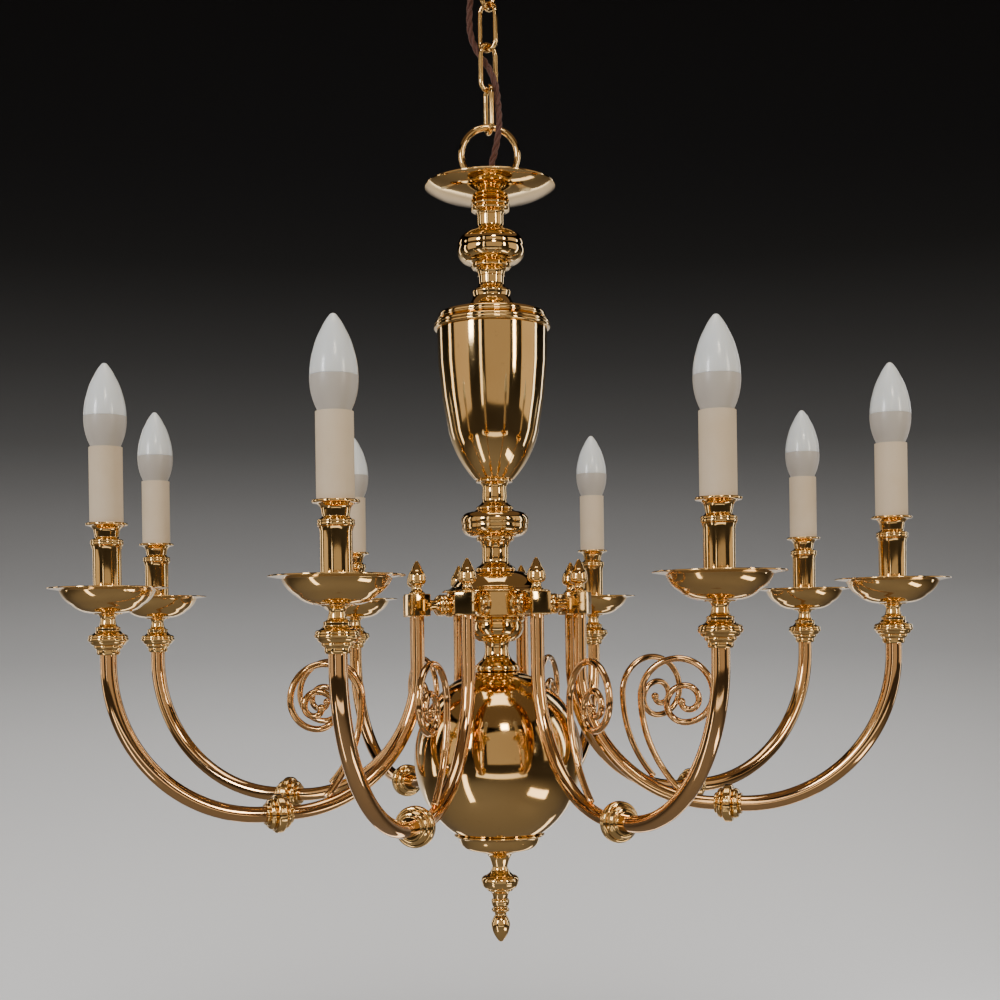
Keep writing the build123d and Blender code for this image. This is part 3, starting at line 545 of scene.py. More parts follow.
def moulded_plastic(name, tint, gloss):
    """Moulded plastic with a fine spark-eroded skin."""
    shader = Shader(name)
    where = shader.place()
    skin = shader.clouds(where, 1400.0, 2.0)
    cloud = shader.clouds(where, 30.0)
    dark = tuple(channel * 0.86 for channel in tint)
    return shader.finish(
        Base_Color=shader.mix(cloud, dark, tint),
        Roughness=gloss + 0.10 * skin,
        Normal=shader.bump(skin, 0.00003, 0.4),
    )


def candle_card(tint):
    """Cream candle sleeve: matt card with faint fibres, specks and cloudy patches."""
    shader = Shader("candle_card")
    where = shader.place()
    stretched = shader.node("ShaderNodeMapping", None, Vector=where, Scale=(240.0, 240.0, 36.0))
    fibre = shader.clouds(stretched, 1.0, 4.0, 0.65)
    cloud = shader.clouds(where, 22.0, 3.0)
    speck = shader.clouds(where, 700.0, 2.0).ramp(0.66, 0.74)
    shade = tuple(channel * factor for channel, factor in zip(tint, (0.90, 0.86, 0.78)))
    card = shader.mix(cloud.ramp(0.35, 0.75) * 0.6 + fibre * 0.25, tint, shade)
    card = shader.mix(speck * 0.18, card, (0.42, 0.30, 0.18))
    return shader.finish(
        Base_Color=card,
        Roughness=0.58 + 0.18 * fibre,
        Normal=shader.bump(fibre + 0.5 * cloud, 0.00012, 0.5),
    )


def frosted_dome(tint):
    """Opal lamp dome: even milky skin that lets a little light through."""
    shader = Shader("frosted_dome")
    where = shader.place()
    cloud = shader.clouds(where, 18.0)
    fine = shader.clouds(where, 900.0, 2.0)
    shade = tuple(channel * 0.93 for channel in tint)
    return shader.finish(
        Base_Color=shader.mix(cloud, tint, shade),
        Roughness=0.20 + 0.08 * fine,
        Subsurface_Weight=0.35,
        Subsurface_Radius=(0.012, 0.013, 0.015),
        Subsurface_Scale=0.6,
        Coat_Weight=0.25,
        Coat_Roughness=0.12,
        Normal=shader.bump(fine, 0.00002, 0.3),
    )


def braided_flex(tint, light):
    """Woven braid over each core of the flex."""
    shader = Shader("braided_flex")
    around, along = shader.surface()
    where = shader.place()
    left = (along * 620.0 + around * 8.0).wrap()
    right = (along * 620.0 - around * 8.0).wrap()
    yarn = ((left * math.tau).sine() * 0.5 + 0.5) * ((right * math.tau).sine() * 0.5 + 0.5)
    cloud = shader.clouds(where, 120.0)
    fleck = shader.clouds(where, 900.0, 2.0).ramp(0.55, 0.75)
    weave = shader.mix(yarn * 0.7 + fleck * 0.35, tint, light)
    weave = shader.mix(cloud * 0.4, weave, tuple(channel * 0.6 for channel in tint))
    return shader.finish(
        Base_Color=weave,
        Roughness=0.42 + 0.25 * (1 - yarn),
        Sheen_Weight=0.4,
        Sheen_Roughness=0.4,
        Normal=shader.bump(yarn, 0.00018, 0.8),
    )


def studio_sweep(studio):
    """Pale floor that darkens up its sweep, with painted shade on the floor below and in front of the fitting."""
    shader = Shader("studio_sweep")
    height = shader.node("ShaderNodeSeparateXYZ", None, shader.place(), out="Z")
    level = height.ramp(studio.floor - SWEEP_FADE[0], SWEEP_FADE[1])
    greys = [(place, (grey, grey, grey)) for place, grey in SWEEP_SHADES]
    ramp = {"stops": ((0.0, studio.floor_colour), *greys, (1.0, studio.wall_colour))}
    tint = shader.node("ShaderNodeValToRGB", ramp, level, out="Color")
    # painted shade: the floor below and in front of the fitting is mixed towards black, so the brass undersides
    # reflect darker
    depth = shader.node("ShaderNodeSeparateXYZ", None, shader.place(), out="Y").ramp(*NEAR_FLOOR)
    painted_shade_floor = shader.mix(depth * studio.floor_shade, tint, (0.0, 0.0, 0.0))
    return shader.finish(Base_Color=painted_shade_floor, Roughness=0.85, Specular_IOR_Level=0.15)


FINISHES = {}


def finish_of(name):
    """Each finish is made once, from the user's colours."""
    if name not in FINISHES:
        tones = bpy.context.scene.chandelier_finish
        makers = {
            "brass": lambda: polished_brass("polished_brass", tones.brass, tones.brass_deep),
            "arm_brass": lambda: polished_brass("arm_brass", tones.arm_brass, tones.brass_deep, 0.055, 0.0003),
            "steel": plated_steel,
            "white_plastic": lambda: moulded_plastic("white_plastic", (0.80, 0.79, 0.75), 0.38),
            "dark_plastic": lambda: moulded_plastic("dark_plastic", (0.055, 0.042, 0.035), 0.32),
            "wire": lambda: moulded_plastic("wire_sheath", (0.72, 0.69, 0.62), 0.40),
            "lamp_base": lambda: moulded_plastic("lamp_base", tones.base, 0.30),
            "sleeve": lambda: candle_card(tones.sleeve),
            "dome": lambda: frosted_dome(tones.dome),
            "flex": lambda: braided_flex(tones.flex, tones.flex_light),
        }
        FINISHES[name] = makers[name]()
    return FINISHES[name]


# ---- meshes ---------------------------------------------------------------------------------------
def bulged(start, end, bulge):
    """Points along a side after its start, in steps of about five degrees when it bulges."""
    start, end = Vector(start), Vector(end)
    if not bulge:
        return [end]
    run = end - start
    left = Vector((-run.y, run.x)).normalized()
    half, rise = run.length / 2, abs(bulge)
    radius = (half * half + rise * rise) / (2 * rise)
    side = math.copysign(1.0, bulge)
    centre = (start + end) / 2 - left * side * (radius - rise)
    sweep = 2 * math.asin(min(1.0, half / radius))
    steps = max(3, math.ceil(math.degrees(sweep) / 5))
    first = math.atan2(start.y - centre.y, start.x - centre.x)
    turn = -side * sweep
    return [
        centre + radius * Vector((math.cos(first + turn * k / steps), math.sin(first + turn * k / steps)))
        for k in range(1, steps)
    ] + [end]


def softened(outline, corner):
    """A closed outline with its sides drawn out and its sharp corners rounded, in millimetres."""
    points = []
    for before, here in zip(outline, outline[1:] + outline[:1]):
        bulge = here[2] if len(here) > 2 and here is not outline[0] else 0
        points += bulged(before[:2], here[:2], bulge)
    result = []
    count = len(points)
    for k, here in enumerate(points):
        before, after = points[k - 1], points[(k + 1) % count]
        back, ahead = before - here, after - here
        turn = math.pi - back.angle(ahead) if back.length and ahead.length else 0
        if here.x < 1e-6 or turn < math.radians(18):
            result.append(here)
            continue
        cut = min(corner * 1.2, 0.42 * back.length, 0.42 * ahead.length)
        a, b = here + back.normalized() * cut, here + ahead.normalized() * cut
        if back.length > 5 * cut:
            result.append(here + back.normalized() * cut * 1.8)
        result += [a.lerp(here, t).lerp(here.lerp(b, t), t) for t in (0, 0.25, 0.5, 0.75, 1)]
        if ahead.length > 5 * cut:
            result.append(here + ahead.normalized() * cut * 1.8)
    return result


def mesh_of(name, verts, faces, coords=None):
    """A mesh of outward, smooth faces, with (round, along) kept in its UV map."""
    mesh = bpy.data.meshes.new(name)
    mesh.from_pydata(verts, [], faces)
    if coords:
        layer = mesh.uv_layers.new(name="UVMap")
        for polygon, corners in zip(mesh.polygons, coords):
            for loop, uv in zip(polygon.loop_indices, corners):
                layer.data[loop].uv = uv
    work = bmesh.new()
    work.from_mesh(mesh)
    bmesh.ops.remove_doubles(work, verts=work.verts, dist=1e-7)
    bmesh.ops.recalc_face_normals(work, faces=work.faces)
    if work.calc_volume(signed=True) < 0:
        bmesh.ops.reverse_faces(work, faces=work.faces)
    work.to_mesh(mesh)
    work.free()
    mesh.shade_smooth()
    return mesh


def turn(name, points, steps):
    """Mesh of a closed outline turned about Z, in metres."""
    rings, verts = [], []
    for point in points:
        if point.x < 1e-4:
            rings.append([len(verts)] * steps)
            verts.append((0.0, 0.0, point.y * MM))
            continue
        rings.append([len(verts) + k for k in range(steps)])
        for k in range(steps):
            angle = math.tau * k / steps
            verts.append((point.x * MM * math.cos(angle), point.x * MM * math.sin(angle), point.y * MM))
    faces, coords = [], []
    along = 0.0
    for k, ring in enumerate(rings):
        ahead = rings[(k + 1) % len(rings)]
        step = (points[(k + 1) % len(points)] - points[k]).length * MM
        if ring[0] == ring[1] and ahead[0] == ahead[1]:
            continue
        for n in range(steps):
            m = (n + 1) % steps
            u0, u1 = n / steps, (n + 1) / steps
            corners = [(ring[n], (u0, along)), (ring[m], (u1, along))]
            corners += [(ahead[m], (u1, along + step)), (ahead[n], (u0, along + step))]
            kept = [c for i, c in enumerate(corners) if c[0] != corners[i - 1][0]]
            faces.append([c[0] for c in kept])
            coords.append([c[1] for c in kept])
        along += step
    return mesh_of(name, verts, faces, coords)


def sweep(name, path, radius, sides, ring=False):
    """Mesh of a round bar along a path in metres, closed with domed ends or into a ring."""
    path = [Vector(p) for p in path]
    count = len(path)
    tangents = []
    for k in range(count):
        ahead = path[(k + 1) % count] if ring else path[min(k + 1, count - 1)]
        behind = path[k - 1] if ring else path[max(k - 1, 0)]
        tangents.append((ahead - behind).normalized())
    normal = tangents[0].orthogonal().normalized()
    rows = []
    along = 0.0
    for k, (point, tangent) in enumerate(zip(path, tangents)):
        if k:
            normal = (tangents[k - 1].rotation_difference(tangent) @ normal).normalized()
            along += (path[k] - path[k - 1]).length
        rows.append((point, tangent, normal.copy(), radius, along))
    if not ring:
        rows = domed(rows, radius, -1) + rows + domed(rows, radius, 1)
    verts, faces, coords = [], [], []
    for point, tangent, side, wide, _ in rows:
        other = tangent.cross(side)
        for n in range(sides):
            angle = math.tau * n / sides
            verts.append(point + wide * (math.cos(angle) * side + math.sin(angle) * other))
    twist = 0
    if ring:
        last = tangents[-1].rotation_difference(tangents[0]) @ rows[-1][2]
        angle = math.atan2(last.dot(tangents[0].cross(rows[0][2])), last.dot(rows[0][2]))
        twist = round(angle / math.tau * sides)
    spans = len(rows) if ring else len(rows) - 1
    for k in range(spans):
        wrap = ring and k == len(rows) - 1
        nxt = 0 if wrap else k + 1
        v0 = rows[k][4]
        v1 = v0 + (rows[nxt][0] - rows[k][0]).length
        for n in range(sides):
            m = (n + 1) % sides
            shift = twist if wrap else 0
            a, b = k * sides + n, k * sides + m
            c, d = nxt * sides + (m + shift) % sides, nxt * sides + (n + shift) % sides
            faces.append([a, b, c, d])
            u0, u1 = n / sides, (n + 1) / sides
            coords.append([(u0, v0), (u1, v0), (u1, v1), (u0, v1)])
    if not ring:
        for base in (0, (len(rows) - 1) * sides):
            faces.append([base + n for n in range(sides)])
            coords.append([(0.0, 0.0)] * sides)
    return mesh_of(name, verts, faces, coords)


def domed(rows, radius, end):
    """Short rings that round off one end of a bar, which grows by half their depth."""
    point, tangent, side, _, along = rows[-1] if end > 0 else rows[0]
    soft = min(0.22 * radius, 0.0006)
    made = []
    for t in (math.pi / 6, math.pi / 3, math.pi / 2):
        centre = point + tangent * end * soft * math.sin(t) * 0.5
        made.append((centre, tangent, side, radius - soft * (1 - math.cos(t)), along))
    return made if end > 0 else made[::-1]


def arc(centre, radius, first, last, step=3.0):
    """Points on an arc in the arms' upright plane, from one angle to another, in degrees and metres."""
    steps = max(2, math.ceil(abs(last - first) / step))
    made = []
    for k in range(steps + 1):
        angle = math.radians(first + (last - first) * k / steps)
        along, up = centre[0] + radius * math.cos(angle), centre[1] + radius * math.sin(angle)
        made.append(Vector((along * MM, 0, up * MM)))
    return made


def straight(start, end, steps=6):
    """Points on a straight run of the arms' upright plane, in metres."""
    a, b = Vector((start[0], 0, start[1])) * MM, Vector((end[0], 0, end[1])) * MM
    return [a.lerp(b, k / steps) for k in range(steps + 1)]


def joined(*runs):
    """One path from several, without the doubled points where they meet."""
    path = []
    for run in runs:
        for point in run:
            if not path or (point - path[-1]).length > 1e-6:
                path.append(point)
    return path


# ---- pieces ---------------------------------------------------------------------------------------
def shape():
    return bpy.context.scene.chandelier_shape


def add(mesh, finish, place=None):
    """A new object that sits at the origin, with its place in its mesh."""
    if place is not None:
        mesh.transform(place)
    piece = bpy.data.objects.new(mesh.name, mesh)
    bpy.context.scene.collection.objects.link(piece)
    mesh.materials.clear()
    mesh.materials.append(finish_of(finish))
    return piece


def stand_for(piece, body, slot, *nodes):
    """The piece moves with a body and hides the plain nodes it stands for. Its slot is not used."""
    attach(piece, body)
    if nodes:
        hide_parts(*nodes)
    return piece


def lowered(height=0.0, along=0.0):
    return Matrix.Translation((along * MM, 0, DATUM + height * MM))


def lying(along, height):
    """A piece turned about Z laid along +X, on an arm."""
    return lowered(height, along) @ Matrix.Rotation(math.radians(90), 4, "Y")


def turned_mesh(name, steps=None, corner=None, outline=None):
    sizes = shape()
    points = softened(list(outline or TURNINGS[name]), corner or sizes.corner / MM)
    return turn(name, points, steps or sizes.around)


def arm_repeat_tree():
    """Geometry nodes that set a piece on every arm."""
    tree = bpy.data.node_groups.get("On every arm")
    if tree:
        return tree
    tree = bpy.data.node_groups.new("On every arm", "GeometryNodeTree")
    face = tree.interface
    face.new_socket("Piece", in_out="INPUT", socket_type="NodeSocketGeometry")
    face.new_socket("Arms", in_out="INPUT", socket_type="NodeSocketInt")
    face.new_socket("First arm", in_out="INPUT", socket_type="NodeSocketFloat")
    face.new_socket("Finish", in_out="INPUT", socket_type="NodeSocketMaterial")
    face.new_socket("Pieces", in_out="OUTPUT", socket_type="NodeSocketGeometry")
    nodes, links = tree.nodes, tree.links
    given, made = nodes.new("NodeGroupInput"), nodes.new("NodeGroupOutput")
    centre = nodes.new("GeometryNodeMeshLine")
    centre.inputs["Offset"].default_value = (0, 0, 0)
    links.new(given.outputs["Arms"], centre.inputs["Count"])
    number = nodes.new("GeometryNodeInputIndex")
    share = nodes.new("ShaderNodeMath")
    share.operation = "DIVIDE"
    share.inputs[0].default_value = math.tau
    links.new(given.outputs["Arms"], share.inputs[1])
    angle = nodes.new("ShaderNodeMath")
    angle.operation = "MULTIPLY_ADD"
    links.new(number.outputs[0], angle.inputs[0])
    links.new(share.outputs[0], angle.inputs[1])
    links.new(given.outputs["First arm"], angle.inputs[2])
    spin = nodes.new("ShaderNodeCombineXYZ")
    links.new(angle.outputs[0], spin.inputs["Z"])
    copies = nodes.new("GeometryNodeInstanceOnPoints")
    links.new(centre.outputs[0], copies.inputs["Points"])
    links.new(given.outputs["Piece"], copies.inputs["Instance"])
    links.new(spin.outputs[0], copies.inputs["Rotation"])
    real = nodes.new("GeometryNodeRealizeInstances")
    links.new(copies.outputs[0], real.inputs[0])
    paint = nodes.new("GeometryNodeSetMaterial")
    links.new(real.outputs[0], paint.inputs["Geometry"])
    links.new(given.outputs["Finish"], paint.inputs["Material"])
    links.new(paint.outputs[0], made.inputs[0])
    return tree


def on_every_arm(name, mesh, finish, place, node):
    """One piece with a copy of a mesh on every arm, in place of a node's plain solids."""
    mesh.transform(place)
    source = bpy.data.objects.new(name + "_one", mesh)
    bpy.context.scene.collection.objects.link(source)
    modifier = source.modifiers.new("On every arm", "NODES")
    modifier.node_group = arm_repeat_tree()
    values = {"Arms": ARMS, "First arm": FIRST_ARM, "Finish": finish_of(finish)}
    for item in modifier.node_group.interface.items_tree:
        if item.item_type == "SOCKET" and item.name in values:
            modifier[item.identifier] = values[item.name]
    made = plain(source)
    made.name = name
    piece = bpy.data.objects.new(name, made)
    bpy.context.scene.collection.objects.link(piece)
    return stand_for(piece, "fitting", SLOTS[node], node)


def plain(source):
    """The evaluated mesh of an object with live modifiers, which is then removed."""
    graph = bpy.context.evaluated_depsgraph_get()
    graph.update()
    ready = source.evaluated_get(graph)
    made = bpy.data.meshes.new_from_object(ready, preserve_all_data_layers=True, depsgraph=graph)
    bpy.data.objects.remove(source)
    return made


# ---- column ---------------------------------------------------------------------------------------
def turn_column():
    for node in COLUMN:
        piece = add(turned_mesh(node), "brass", lowered())
        piece.name = "turned_" + node
        stand_for(piece, "fitting", "brass", node)


def spin_ball():
    steps = 72
    wide, half, wall = BALL["wide"], BALL["half"], BALL["wall"]
    edge = math.asin(BALL["hole"] / wide)
    outside = [math.pi / 2 - edge - (math.pi - 2 * edge) * k / steps for k in range(steps + 1)]
    points = [Vector((wide * math.cos(t), half * math.sin(t))) for t in outside]
    points += [Vector(((wide - wall) * math.cos(t), (half - wall) * math.sin(t))) for t in reversed(outside)]
    piece = add(turn("hollow_ball", points, shape().around), "brass", lowered(BALL["level"]))
    stand_for(piece, "fitting", "brass", "ball")


def bend_loop():
    rise = math.degrees(math.asin((LOOP["cut"] - LOOP["level"]) / LOOP["radius"]))
    path = arc((0, LOOP["level"]), LOOP["radius"], rise + 1.5, 180 - rise - 1.5)
    piece = add(sweep("hanging_ring", path, LOOP["wire"] * MM, shape().tube_sides), "brass", lowered())
    stand_for(piece, "fitting", "brass", "hanging_loop")


# ---- arms -----------------------------------------------------------------------------------------
def inner_tube():
    top = BLOCK_Z - BLOCK_HIGH / 2 + SPIGOT
    reach = KNOP_R - KNOP_HALF
    bend = reach - BLOCK_R
    return joined(
        straight((BLOCK_R, top), (BLOCK_R, KNOP_Z + bend)),
        arc((reach, KNOP_Z + bend), bend, 180, 270, step=2.0),
        straight((reach, KNOP_Z), (reach + SPIGOT, KNOP_Z), 2),
    )


def outer_tube():
    start = KNOP_R + KNOP_HALF
    bend = CANDLE_R - start
    return joined(
        straight((start - SPIGOT, KNOP_Z), (start, KNOP_Z), 2),
        arc((start, KNOP_Z + bend), bend, 270, 360, step=2.0),
        straight((CANDLE_R, KNOP_Z + bend), (CANDLE_R, CANDLE_FOOT + SPIGOT), 2),
    )


def scroll_wire():
    """Riser from the inner arm and tightening quarter turns up to the eye."""
    side_r, side_z = SCROLL_SIDE
    rise = math.degrees(math.asin(SCROLL_FOOT / SCROLL_RISER))
    runs = [arc((side_r + SCROLL_RISER, side_z), SCROLL_RISER, 180 + rise, 180)]
    here, heading = Vector(SCROLL_SIDE), 90.0
    for radius in SCROLL_TURNS:
        normal = math.radians(heading - 90)
        centre = here + radius * Vector((math.cos(normal), math.sin(normal)))
        runs.append(arc(centre, radius, heading + 90, heading, step=4.0))
        heading -= 90
        out = math.radians(heading + 90)
        here = centre + radius * Vector((math.cos(out), math.sin(out)))
    return joined(*runs), here


def bend_arms():
    sides = shape().tube_sides
    level = lowered()
    inner = sweep("inner", inner_tube(), INNER_TUBE * MM, sides)
    on_every_arm("bent_inner_arms", inner, "arm_brass", level, "inner_arms")
    outer = sweep("outer", outer_tube(), OUTER_TUBE * MM, sides)
    on_every_arm("bent_outer_arms", outer, "arm_brass", level, "outer_arms")
    path, eye = scroll_wire()
    wire = sweep("wire", path, SCROLL_WIRE * MM, max(12, sides * 2 // 3))
    bead = turn("bead", softened(mirrored(SCROLL_BEAD), 0.2), BEAD_AROUND)
    bead.transform(Matrix.Translation((eye.x * MM, 0, eye.y * MM)))
    on_every_arm("bent_scrolls", merged("scroll", wire, bead), "arm_brass", level, "scrolls")


def merged(name, *meshes):
    """Several meshes as one."""
    work = bmesh.new()
    for mesh in meshes:
        work.from_mesh(mesh)
        bpy.data.meshes.remove(mesh)
    made = bpy.data.meshes.new(name)
    work.to_mesh(made)
    work.free()
    made.shade_smooth()
    return made


def cast_blocks():
    """Square blocks with softened edges, their acorns, and the necks that carry them."""
    small = shape().small_around
    work = bmesh.new()
    bmesh.ops.create_cube(work, size=1.0)
    bmesh.ops.scale(work, verts=work.verts, vec=(BLOCK_SIDE * MM, BLOCK_SIDE * MM, BLOCK_HIGH * MM))
    bmesh.ops.bevel(work, geom=work.edges[:], offset=BLOCK_EDGE * MM, segments=4, profile=0.5, affect="EDGES")
    block = bpy.data.meshes.new("block")
    work.to_mesh(block)
    work.free()
    block.shade_smooth()
    block.set_sharp_from_angle(angle=math.radians(40))
    on_every_arm("square_blocks", block, "brass", lowered(BLOCK_Z, BLOCK_R), "arm_blocks")
    acorn = turned_mesh("acorn_finial", small, CRISP)
    on_every_arm("turned_acorns", acorn, "brass", lowered(BLOCK_Z + BLOCK_HIGH / 2, BLOCK_R), "acorn_finials")
    neck = turned_mesh("arm_neck", small, CRISP)
    place = lowered(BLOCK_Z, NECK_R) @ Matrix.Rotation(math.radians(-90), 4, "Y")
    on_every_arm("turned_necks", neck, "brass", place, "arm_necks")
    knop = turned_mesh("arm_knop", small, EASED)
    on_every_arm("turned_arm_knops", knop, "brass", lying(KNOP_R, KNOP_Z), "arm_knops")


# ---- candles --------------------------------------------------------------------------------------
def turn_candles():
    small = shape().small_around
    place = lowered(0, CANDLE_R)
    knop = turned_mesh("candle_knop", small, EASED)
    on_every_arm("turned_candle_knops", knop, "brass", place, "candle_knops")
    on_every_arm("spun_drip_pans", turned_mesh("drip_pan", PAN_AROUND, CRISP), "brass", place, "drip_pans")
    on_every_arm("turned_cups", turned_mesh("candle_cup", small, EASED), "brass", place, "candle_cups")
    outer, inner = SLEEVE["radius"], SLEEVE["radius"] - SLEEVE["card"]
    foot, top = SLEEVE["foot"], SLEEVE["top"]
    tube = [(inner, top), (outer, top), (outer, foot), (inner, foot)]
    sleeve = turned_mesh("sleeve", small, CARD_EDGE, tube)
    on_every_arm("candle_sleeves", sleeve, "sleeve", place, "candle_tubes")


def blow_lamps():
    """One lamp on each candle: dome and foot ride together, so that the lamp lifts out."""
    small = shape().small_around
    for number in range(ARMS):
        spin = Matrix.Rotation(FIRST_ARM + math.tau * number / ARMS, 4, "Z")
        for node, finish in (("bulb_dome", "dome"), ("bulb_base", "lamp_base")):
            mesh = turned_mesh(node, small, CRISP)
            piece = add(mesh, finish, spin @ lowered(0, CANDLE_R))
            piece.name = f"lamp_{node[5:]}_{number + 1}"
            stand_for(piece, f"bulb_{number + 1}", node, f"{node}_{number + 1}")


# ---- chain and ceiling ----------------------------------------------------------------------------
def weld_chain():
    half = LINKS["wide"] / 2 - LINKS["wire"]
    run = LINKS["long"] / 2 - LINKS["wire"] - half
    path = joined(
        straight((half, -run), (half, run), 4),
        arc((0, run), half, 0, 180, step=5.0),
        straight((-half, run), (-half, -run), 4),
        arc((0, -run), half, 180, 360, step=5.0),
    )[:-1]
    for number, (level, angle) in enumerate(zip(LINK_LEVELS, LINK_TURNS), 1):
        place = lowered(level) @ Matrix.Rotation(math.radians(angle), 4, "Z")
        link = sweep(f"welded_link_{number}", path, LINKS["wire"] * MM, shape().tube_sides, ring=True)
        piece = add(link, "brass", place)
        stand_for(piece, f"link_{number}", "brass", f"chain_link_{number}")


def hang_ceiling():
    """Rose and collar, seen only from above or the side."""
    for node in ("ceiling_rose", "rose_collar"):
        piece = add(turned_mesh(node), "brass", lowered())
        piece.name = "spun_" + node
        stand_for(piece, "ceiling", "brass", node)


def finish_nodes():
    """Give the nodes that keep their CAD shape a worked finish."""
    for name, node in NODES.items():
        if node.hide_render:
            continue
        node.data.materials.clear()
        node.data.materials.append(finish_of(SLOTS[name]))


# ---- flex -----------------------------------------------------------------------------------------
def flex_line():
    """Points read from the route's smooth spline."""
    curve = bpy.data.curves.new("flex_route", "CURVE")
    curve.dimensions = "3D"
    spline = curve.splines.new("NURBS")
    spline.points.add(len(FLEX_ROUTE) - 1)
    for point, (x, y, z) in zip(spline.points, FLEX_ROUTE):
        point.co = (x * MM, y * MM, DATUM + z * MM, 1)
    spline.order_u = 3
    spline.use_endpoint_u = True
    curve.resolution_u = 24
    route = bpy.data.objects.new("flex_route", curve)
    bpy.context.scene.collection.objects.link(route)
    graph = bpy.context.evaluated_depsgraph_get()
    graph.update()
    line = bpy.data.meshes.new_from_object(route.evaluated_get(graph))
    points = [vertex.co.copy() for vertex in line.vertices]
    bpy.data.objects.remove(route)
    return points


def twisted(name, line, stretch):
    """Strands laid round a stretch of the line, in step with the stretches before and after it."""
    sizes = shape()
    low, high = stretch
    spread = sizes.strand / math.sin(math.pi / sizes.strands)
    frames, along = [], 0.0
    normal = Vector((1, 0, 0))
    for k, point in enumerate(line):
        tangent = (line[min(k + 1, len(line) - 1)] - line[max(k - 1, 0)]).normalized()
        normal = (normal - tangent * normal.dot(tangent)).normalized()
        if k:
            along += (point - line[k - 1]).length
        if low - 1e-9 <= point.z <= high + 1e-9:
            frames.append((point, tangent, normal.copy(), along))
    meshes = []
    for strand in range(sizes.strands):
        path = []
        for point, tangent, side, run in frames:
            angle = math.tau * (run / sizes.lay + strand / sizes.strands)
            path.append(point + spread * (math.cos(angle) * side + math.sin(angle) * tangent.cross(side)))
        meshes.append(sweep("strand", path, sizes.strand, STRAND_AROUND))
    return merged(name, *meshes), [row[0] for row in frames]


def twist_flex():
    """The flex in four stretches, each running across one joint of the chain."""
    line = flex_line()
    cuts = sorted({DATUM + level * MM for stretch in FLEX_STRETCHES for level in stretch[1:3]})
    dense = []
    for a, b in zip(line, line[1:]):
        dense.append(a)
        dense += [a.lerp(b, (cut - a.z) / (b.z - a.z)) for cut in cuts if a.z < cut < b.z]
    dense.append(line[-1])
    for name, low, high, bodies, across in FLEX_STRETCHES:
        low, high = DATUM + low * MM, DATUM + high * MM
        mesh, path = twisted(name, dense, (low, high))
        mesh.materials.clear()
        mesh.materials.append(finish_of("flex"))
        piece = bpy.data.objects.new(name, mesh)
        bpy.context.scene.collection.objects.link(piece)
        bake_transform(piece)
        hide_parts("flex")
        run = sum((b - a).length for a, b in zip(path, path[1:]))


# ---- studio ---------------------------------------------------------------------------------------
def round_sweep(studio):
    """Round floor that rises into a wall on every side."""
    floor, reach, bend = studio.floor, SWEEP["reach"], SWEEP["bend"]
    points = [(0.0, floor), (reach * 0.5, floor), (reach, floor)]
    for k in range(1, SWEEP["up"] + 1):
        angle = math.radians(90 * k / SWEEP["up"])
        points.append((reach + bend * math.sin(angle), floor + bend * (1 - math.cos(angle))))
    points.append((reach + bend, SWEEP["top"]))
    steps = SWEEP["around"]
    verts, faces = [], []
    for radius, height in points:
        for n in range(steps):
            angle = math.tau * n / steps
            verts.append((radius * math.cos(angle), radius * math.sin(angle), height))
    for k in range(len(points) - 1):
        for n in range(steps):
            m = (n + 1) % steps
            here, over = k * steps, (k + 1) * steps
            faces.append((here + n, here + m, over + m, over + n))
    mesh = bpy.data.meshes.new("studio_sweep")
    mesh.from_pydata(verts, [], faces)
    work = bmesh.new()
    work.from_mesh(mesh)
    bmesh.ops.remove_doubles(work, verts=work.verts, dist=1e-6)
    work.to_mesh(mesh)
    work.free()
    mesh.shade_smooth()
    mesh.materials.append(studio_sweep(studio))
    floor_object = bpy.data.objects.new("studio_sweep", mesh)
    bpy.context.scene.collection.objects.link(floor_object)


def soft_light(name, place, size, power, tint, aim=(0, 0, -0.6)):
    lamp = bpy.data.lights.new(name, "AREA")
    lamp.shape = "RECTANGLE"
    lamp.size, lamp.size_y = size
    lamp.energy = power
    lamp.color = tint
    light = bpy.data.objects.new(name, lamp)
    light.location = place
    light.rotation_mode = "QUATERNION"
    light.rotation_quaternion = (Vector(aim) - Vector(place)).to_track_quat("-Z", "Y")
    light.visible_camera = False
    bpy.context.scene.collection.objects.link(light)
    return light


def set_camera(studio):
    eye = Vector((math.cos(studio.heading), math.sin(studio.heading), 0)) * studio.distance
    eye.z = DATUM
    heading = studio.heading + math.pi - studio.aside
    forward = Vector((math.cos(heading), math.sin(heading), 0))
    lens = bpy.data.cameras.new("studio_camera")
    lens.lens = studio.lens
    lens.sensor_width = 36.0
    lens.shift_y = studio.rise
    lens.dof.use_dof = False
    camera = bpy.data.objects.new("studio_camera", lens)
    camera.location = eye
    camera.rotation_mode = "QUATERNION"
    level = forward.to_track_quat("-Z", "Y")
    camera.rotation_quaternion = level @ Matrix.Rotation(studio.roll, 4, "Z").to_quaternion()
    bpy.context.scene.collection.objects.link(camera)
    bpy.context.scene.camera = camera


def set_lights():
    for light in LIGHTS:
        soft_light(*light)
    world = bpy.data.worlds.new("studio_air")
    world.use_nodes = True
    air = next(node for node in world.node_tree.nodes if node.type == "BACKGROUND")
    air.inputs["Color"].default_value = AIR_COLOUR
    air.inputs["Strength"].default_value = 1.0
    bpy.context.scene.world = world


# ---- operators, panel and registration ------------------------------------------------------------
class CHANDELIER_OT_flex(bpy.types.Operator):
    """Twist the flex along the chain"""

    bl_idname = "chandelier.flex"
    bl_label = "Twist flex"

    def execute(self, context):
        twist_flex()
        return {"FINISHED"}


class CHANDELIER_OT_column(bpy.types.Operator):
    """Turn the column, the ball and the hanging ring"""

    bl_idname = "chandelier.column"
    bl_label = "Turn column"

    def execute(self, context):
        turn_column()
        spin_ball()
        bend_loop()
        return {"FINISHED"}


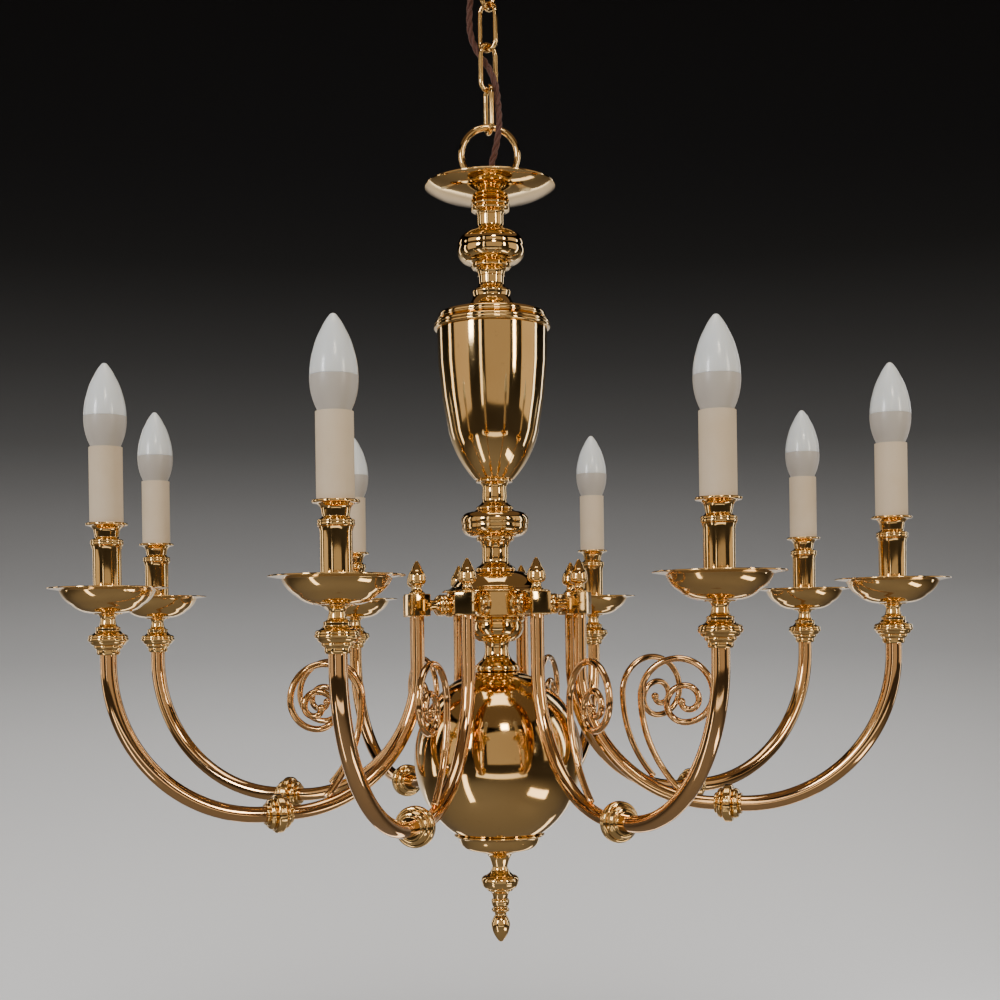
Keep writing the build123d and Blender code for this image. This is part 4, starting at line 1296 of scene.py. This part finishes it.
class CHANDELIER_OT_arms(bpy.types.Operator):
    """Bend the arms and scrolls, and turn the pieces on them"""

    bl_idname = "chandelier.arms"
    bl_label = "Bend arms"

    def execute(self, context):
        bend_arms()
        cast_blocks()
        return {"FINISHED"}


class CHANDELIER_OT_candles(bpy.types.Operator):
    """Turn the candle knops, pans, cups and sleeves"""

    bl_idname = "chandelier.candles"
    bl_label = "Turn candles"

    def execute(self, context):
        turn_candles()
        return {"FINISHED"}


class CHANDELIER_OT_lamps(bpy.types.Operator):
    """Set a lamp in every candle"""

    bl_idname = "chandelier.lamps"
    bl_label = "Set lamps"

    def execute(self, context):
        blow_lamps()
        return {"FINISHED"}


class CHANDELIER_OT_chain(bpy.types.Operator):
    """Weld the chain's links"""

    bl_idname = "chandelier.chain"
    bl_label = "Weld chain"

    def execute(self, context):
        weld_chain()
        return {"FINISHED"}


class CHANDELIER_OT_ceiling(bpy.types.Operator):
    """Spin the rose and its collar, and finish the nodes that keep their shape"""

    bl_idname = "chandelier.ceiling"
    bl_label = "Hang rose"

    def execute(self, context):
        hang_ceiling()
        finish_nodes()
        return {"FINISHED"}


class CHANDELIER_OT_studio(bpy.types.Operator):
    """Build the plain studio, its lights and the camera"""

    bl_idname = "chandelier.studio"
    bl_label = "Build studio"

    def execute(self, context):
        studio = context.scene.chandelier_studio
        round_sweep(studio)
        set_lights()
        set_camera(studio)
        return {"FINISHED"}


STEPS = (
    CHANDELIER_OT_studio,
    CHANDELIER_OT_flex,
    CHANDELIER_OT_chain,
    CHANDELIER_OT_column,
    CHANDELIER_OT_arms,
    CHANDELIER_OT_candles,
    CHANDELIER_OT_lamps,
    CHANDELIER_OT_ceiling,
)
GROUPS = {
    "chandelier_shape": ChandelierShape,
    "chandelier_finish": ChandelierFinish,
    "chandelier_studio": ChandelierStudio,
}


class CHANDELIER_PT_build(bpy.types.Panel):
    """The sizes, the colours and a button for each group of pieces"""

    bl_idname = "CHANDELIER_PT_build"
    bl_label = "Chandelier"
    bl_space_type = "VIEW_3D"
    bl_region_type = "UI"
    bl_category = "Chandelier"

    def draw(self, context):
        for group in GROUPS:
            values = getattr(context.scene, group)
            box = self.layout.box()
            for name in values.__annotations__:
                box.prop(values, name)
        for step in STEPS:
            self.layout.operator(step.bl_idname)


def register():
    for group, kind in GROUPS.items():
        bpy.utils.register_class(kind)
        setattr(bpy.types.Scene, group, bpy.props.PointerProperty(type=kind))
    for kind in (*STEPS, CHANDELIER_PT_build):
        bpy.utils.register_class(kind)


def unregister():
    for kind in (CHANDELIER_PT_build, *reversed(STEPS)):
        bpy.utils.unregister_class(kind)
    for group, kind in GROUPS.items():
        delattr(bpy.types.Scene, group)
        bpy.utils.unregister_class(kind)


def main():
    register()
    for step in STEPS:
        group, name = step.bl_idname.split(".")
        getattr(getattr(bpy.ops, group), name)()


if __name__ == "__main__":
    main()
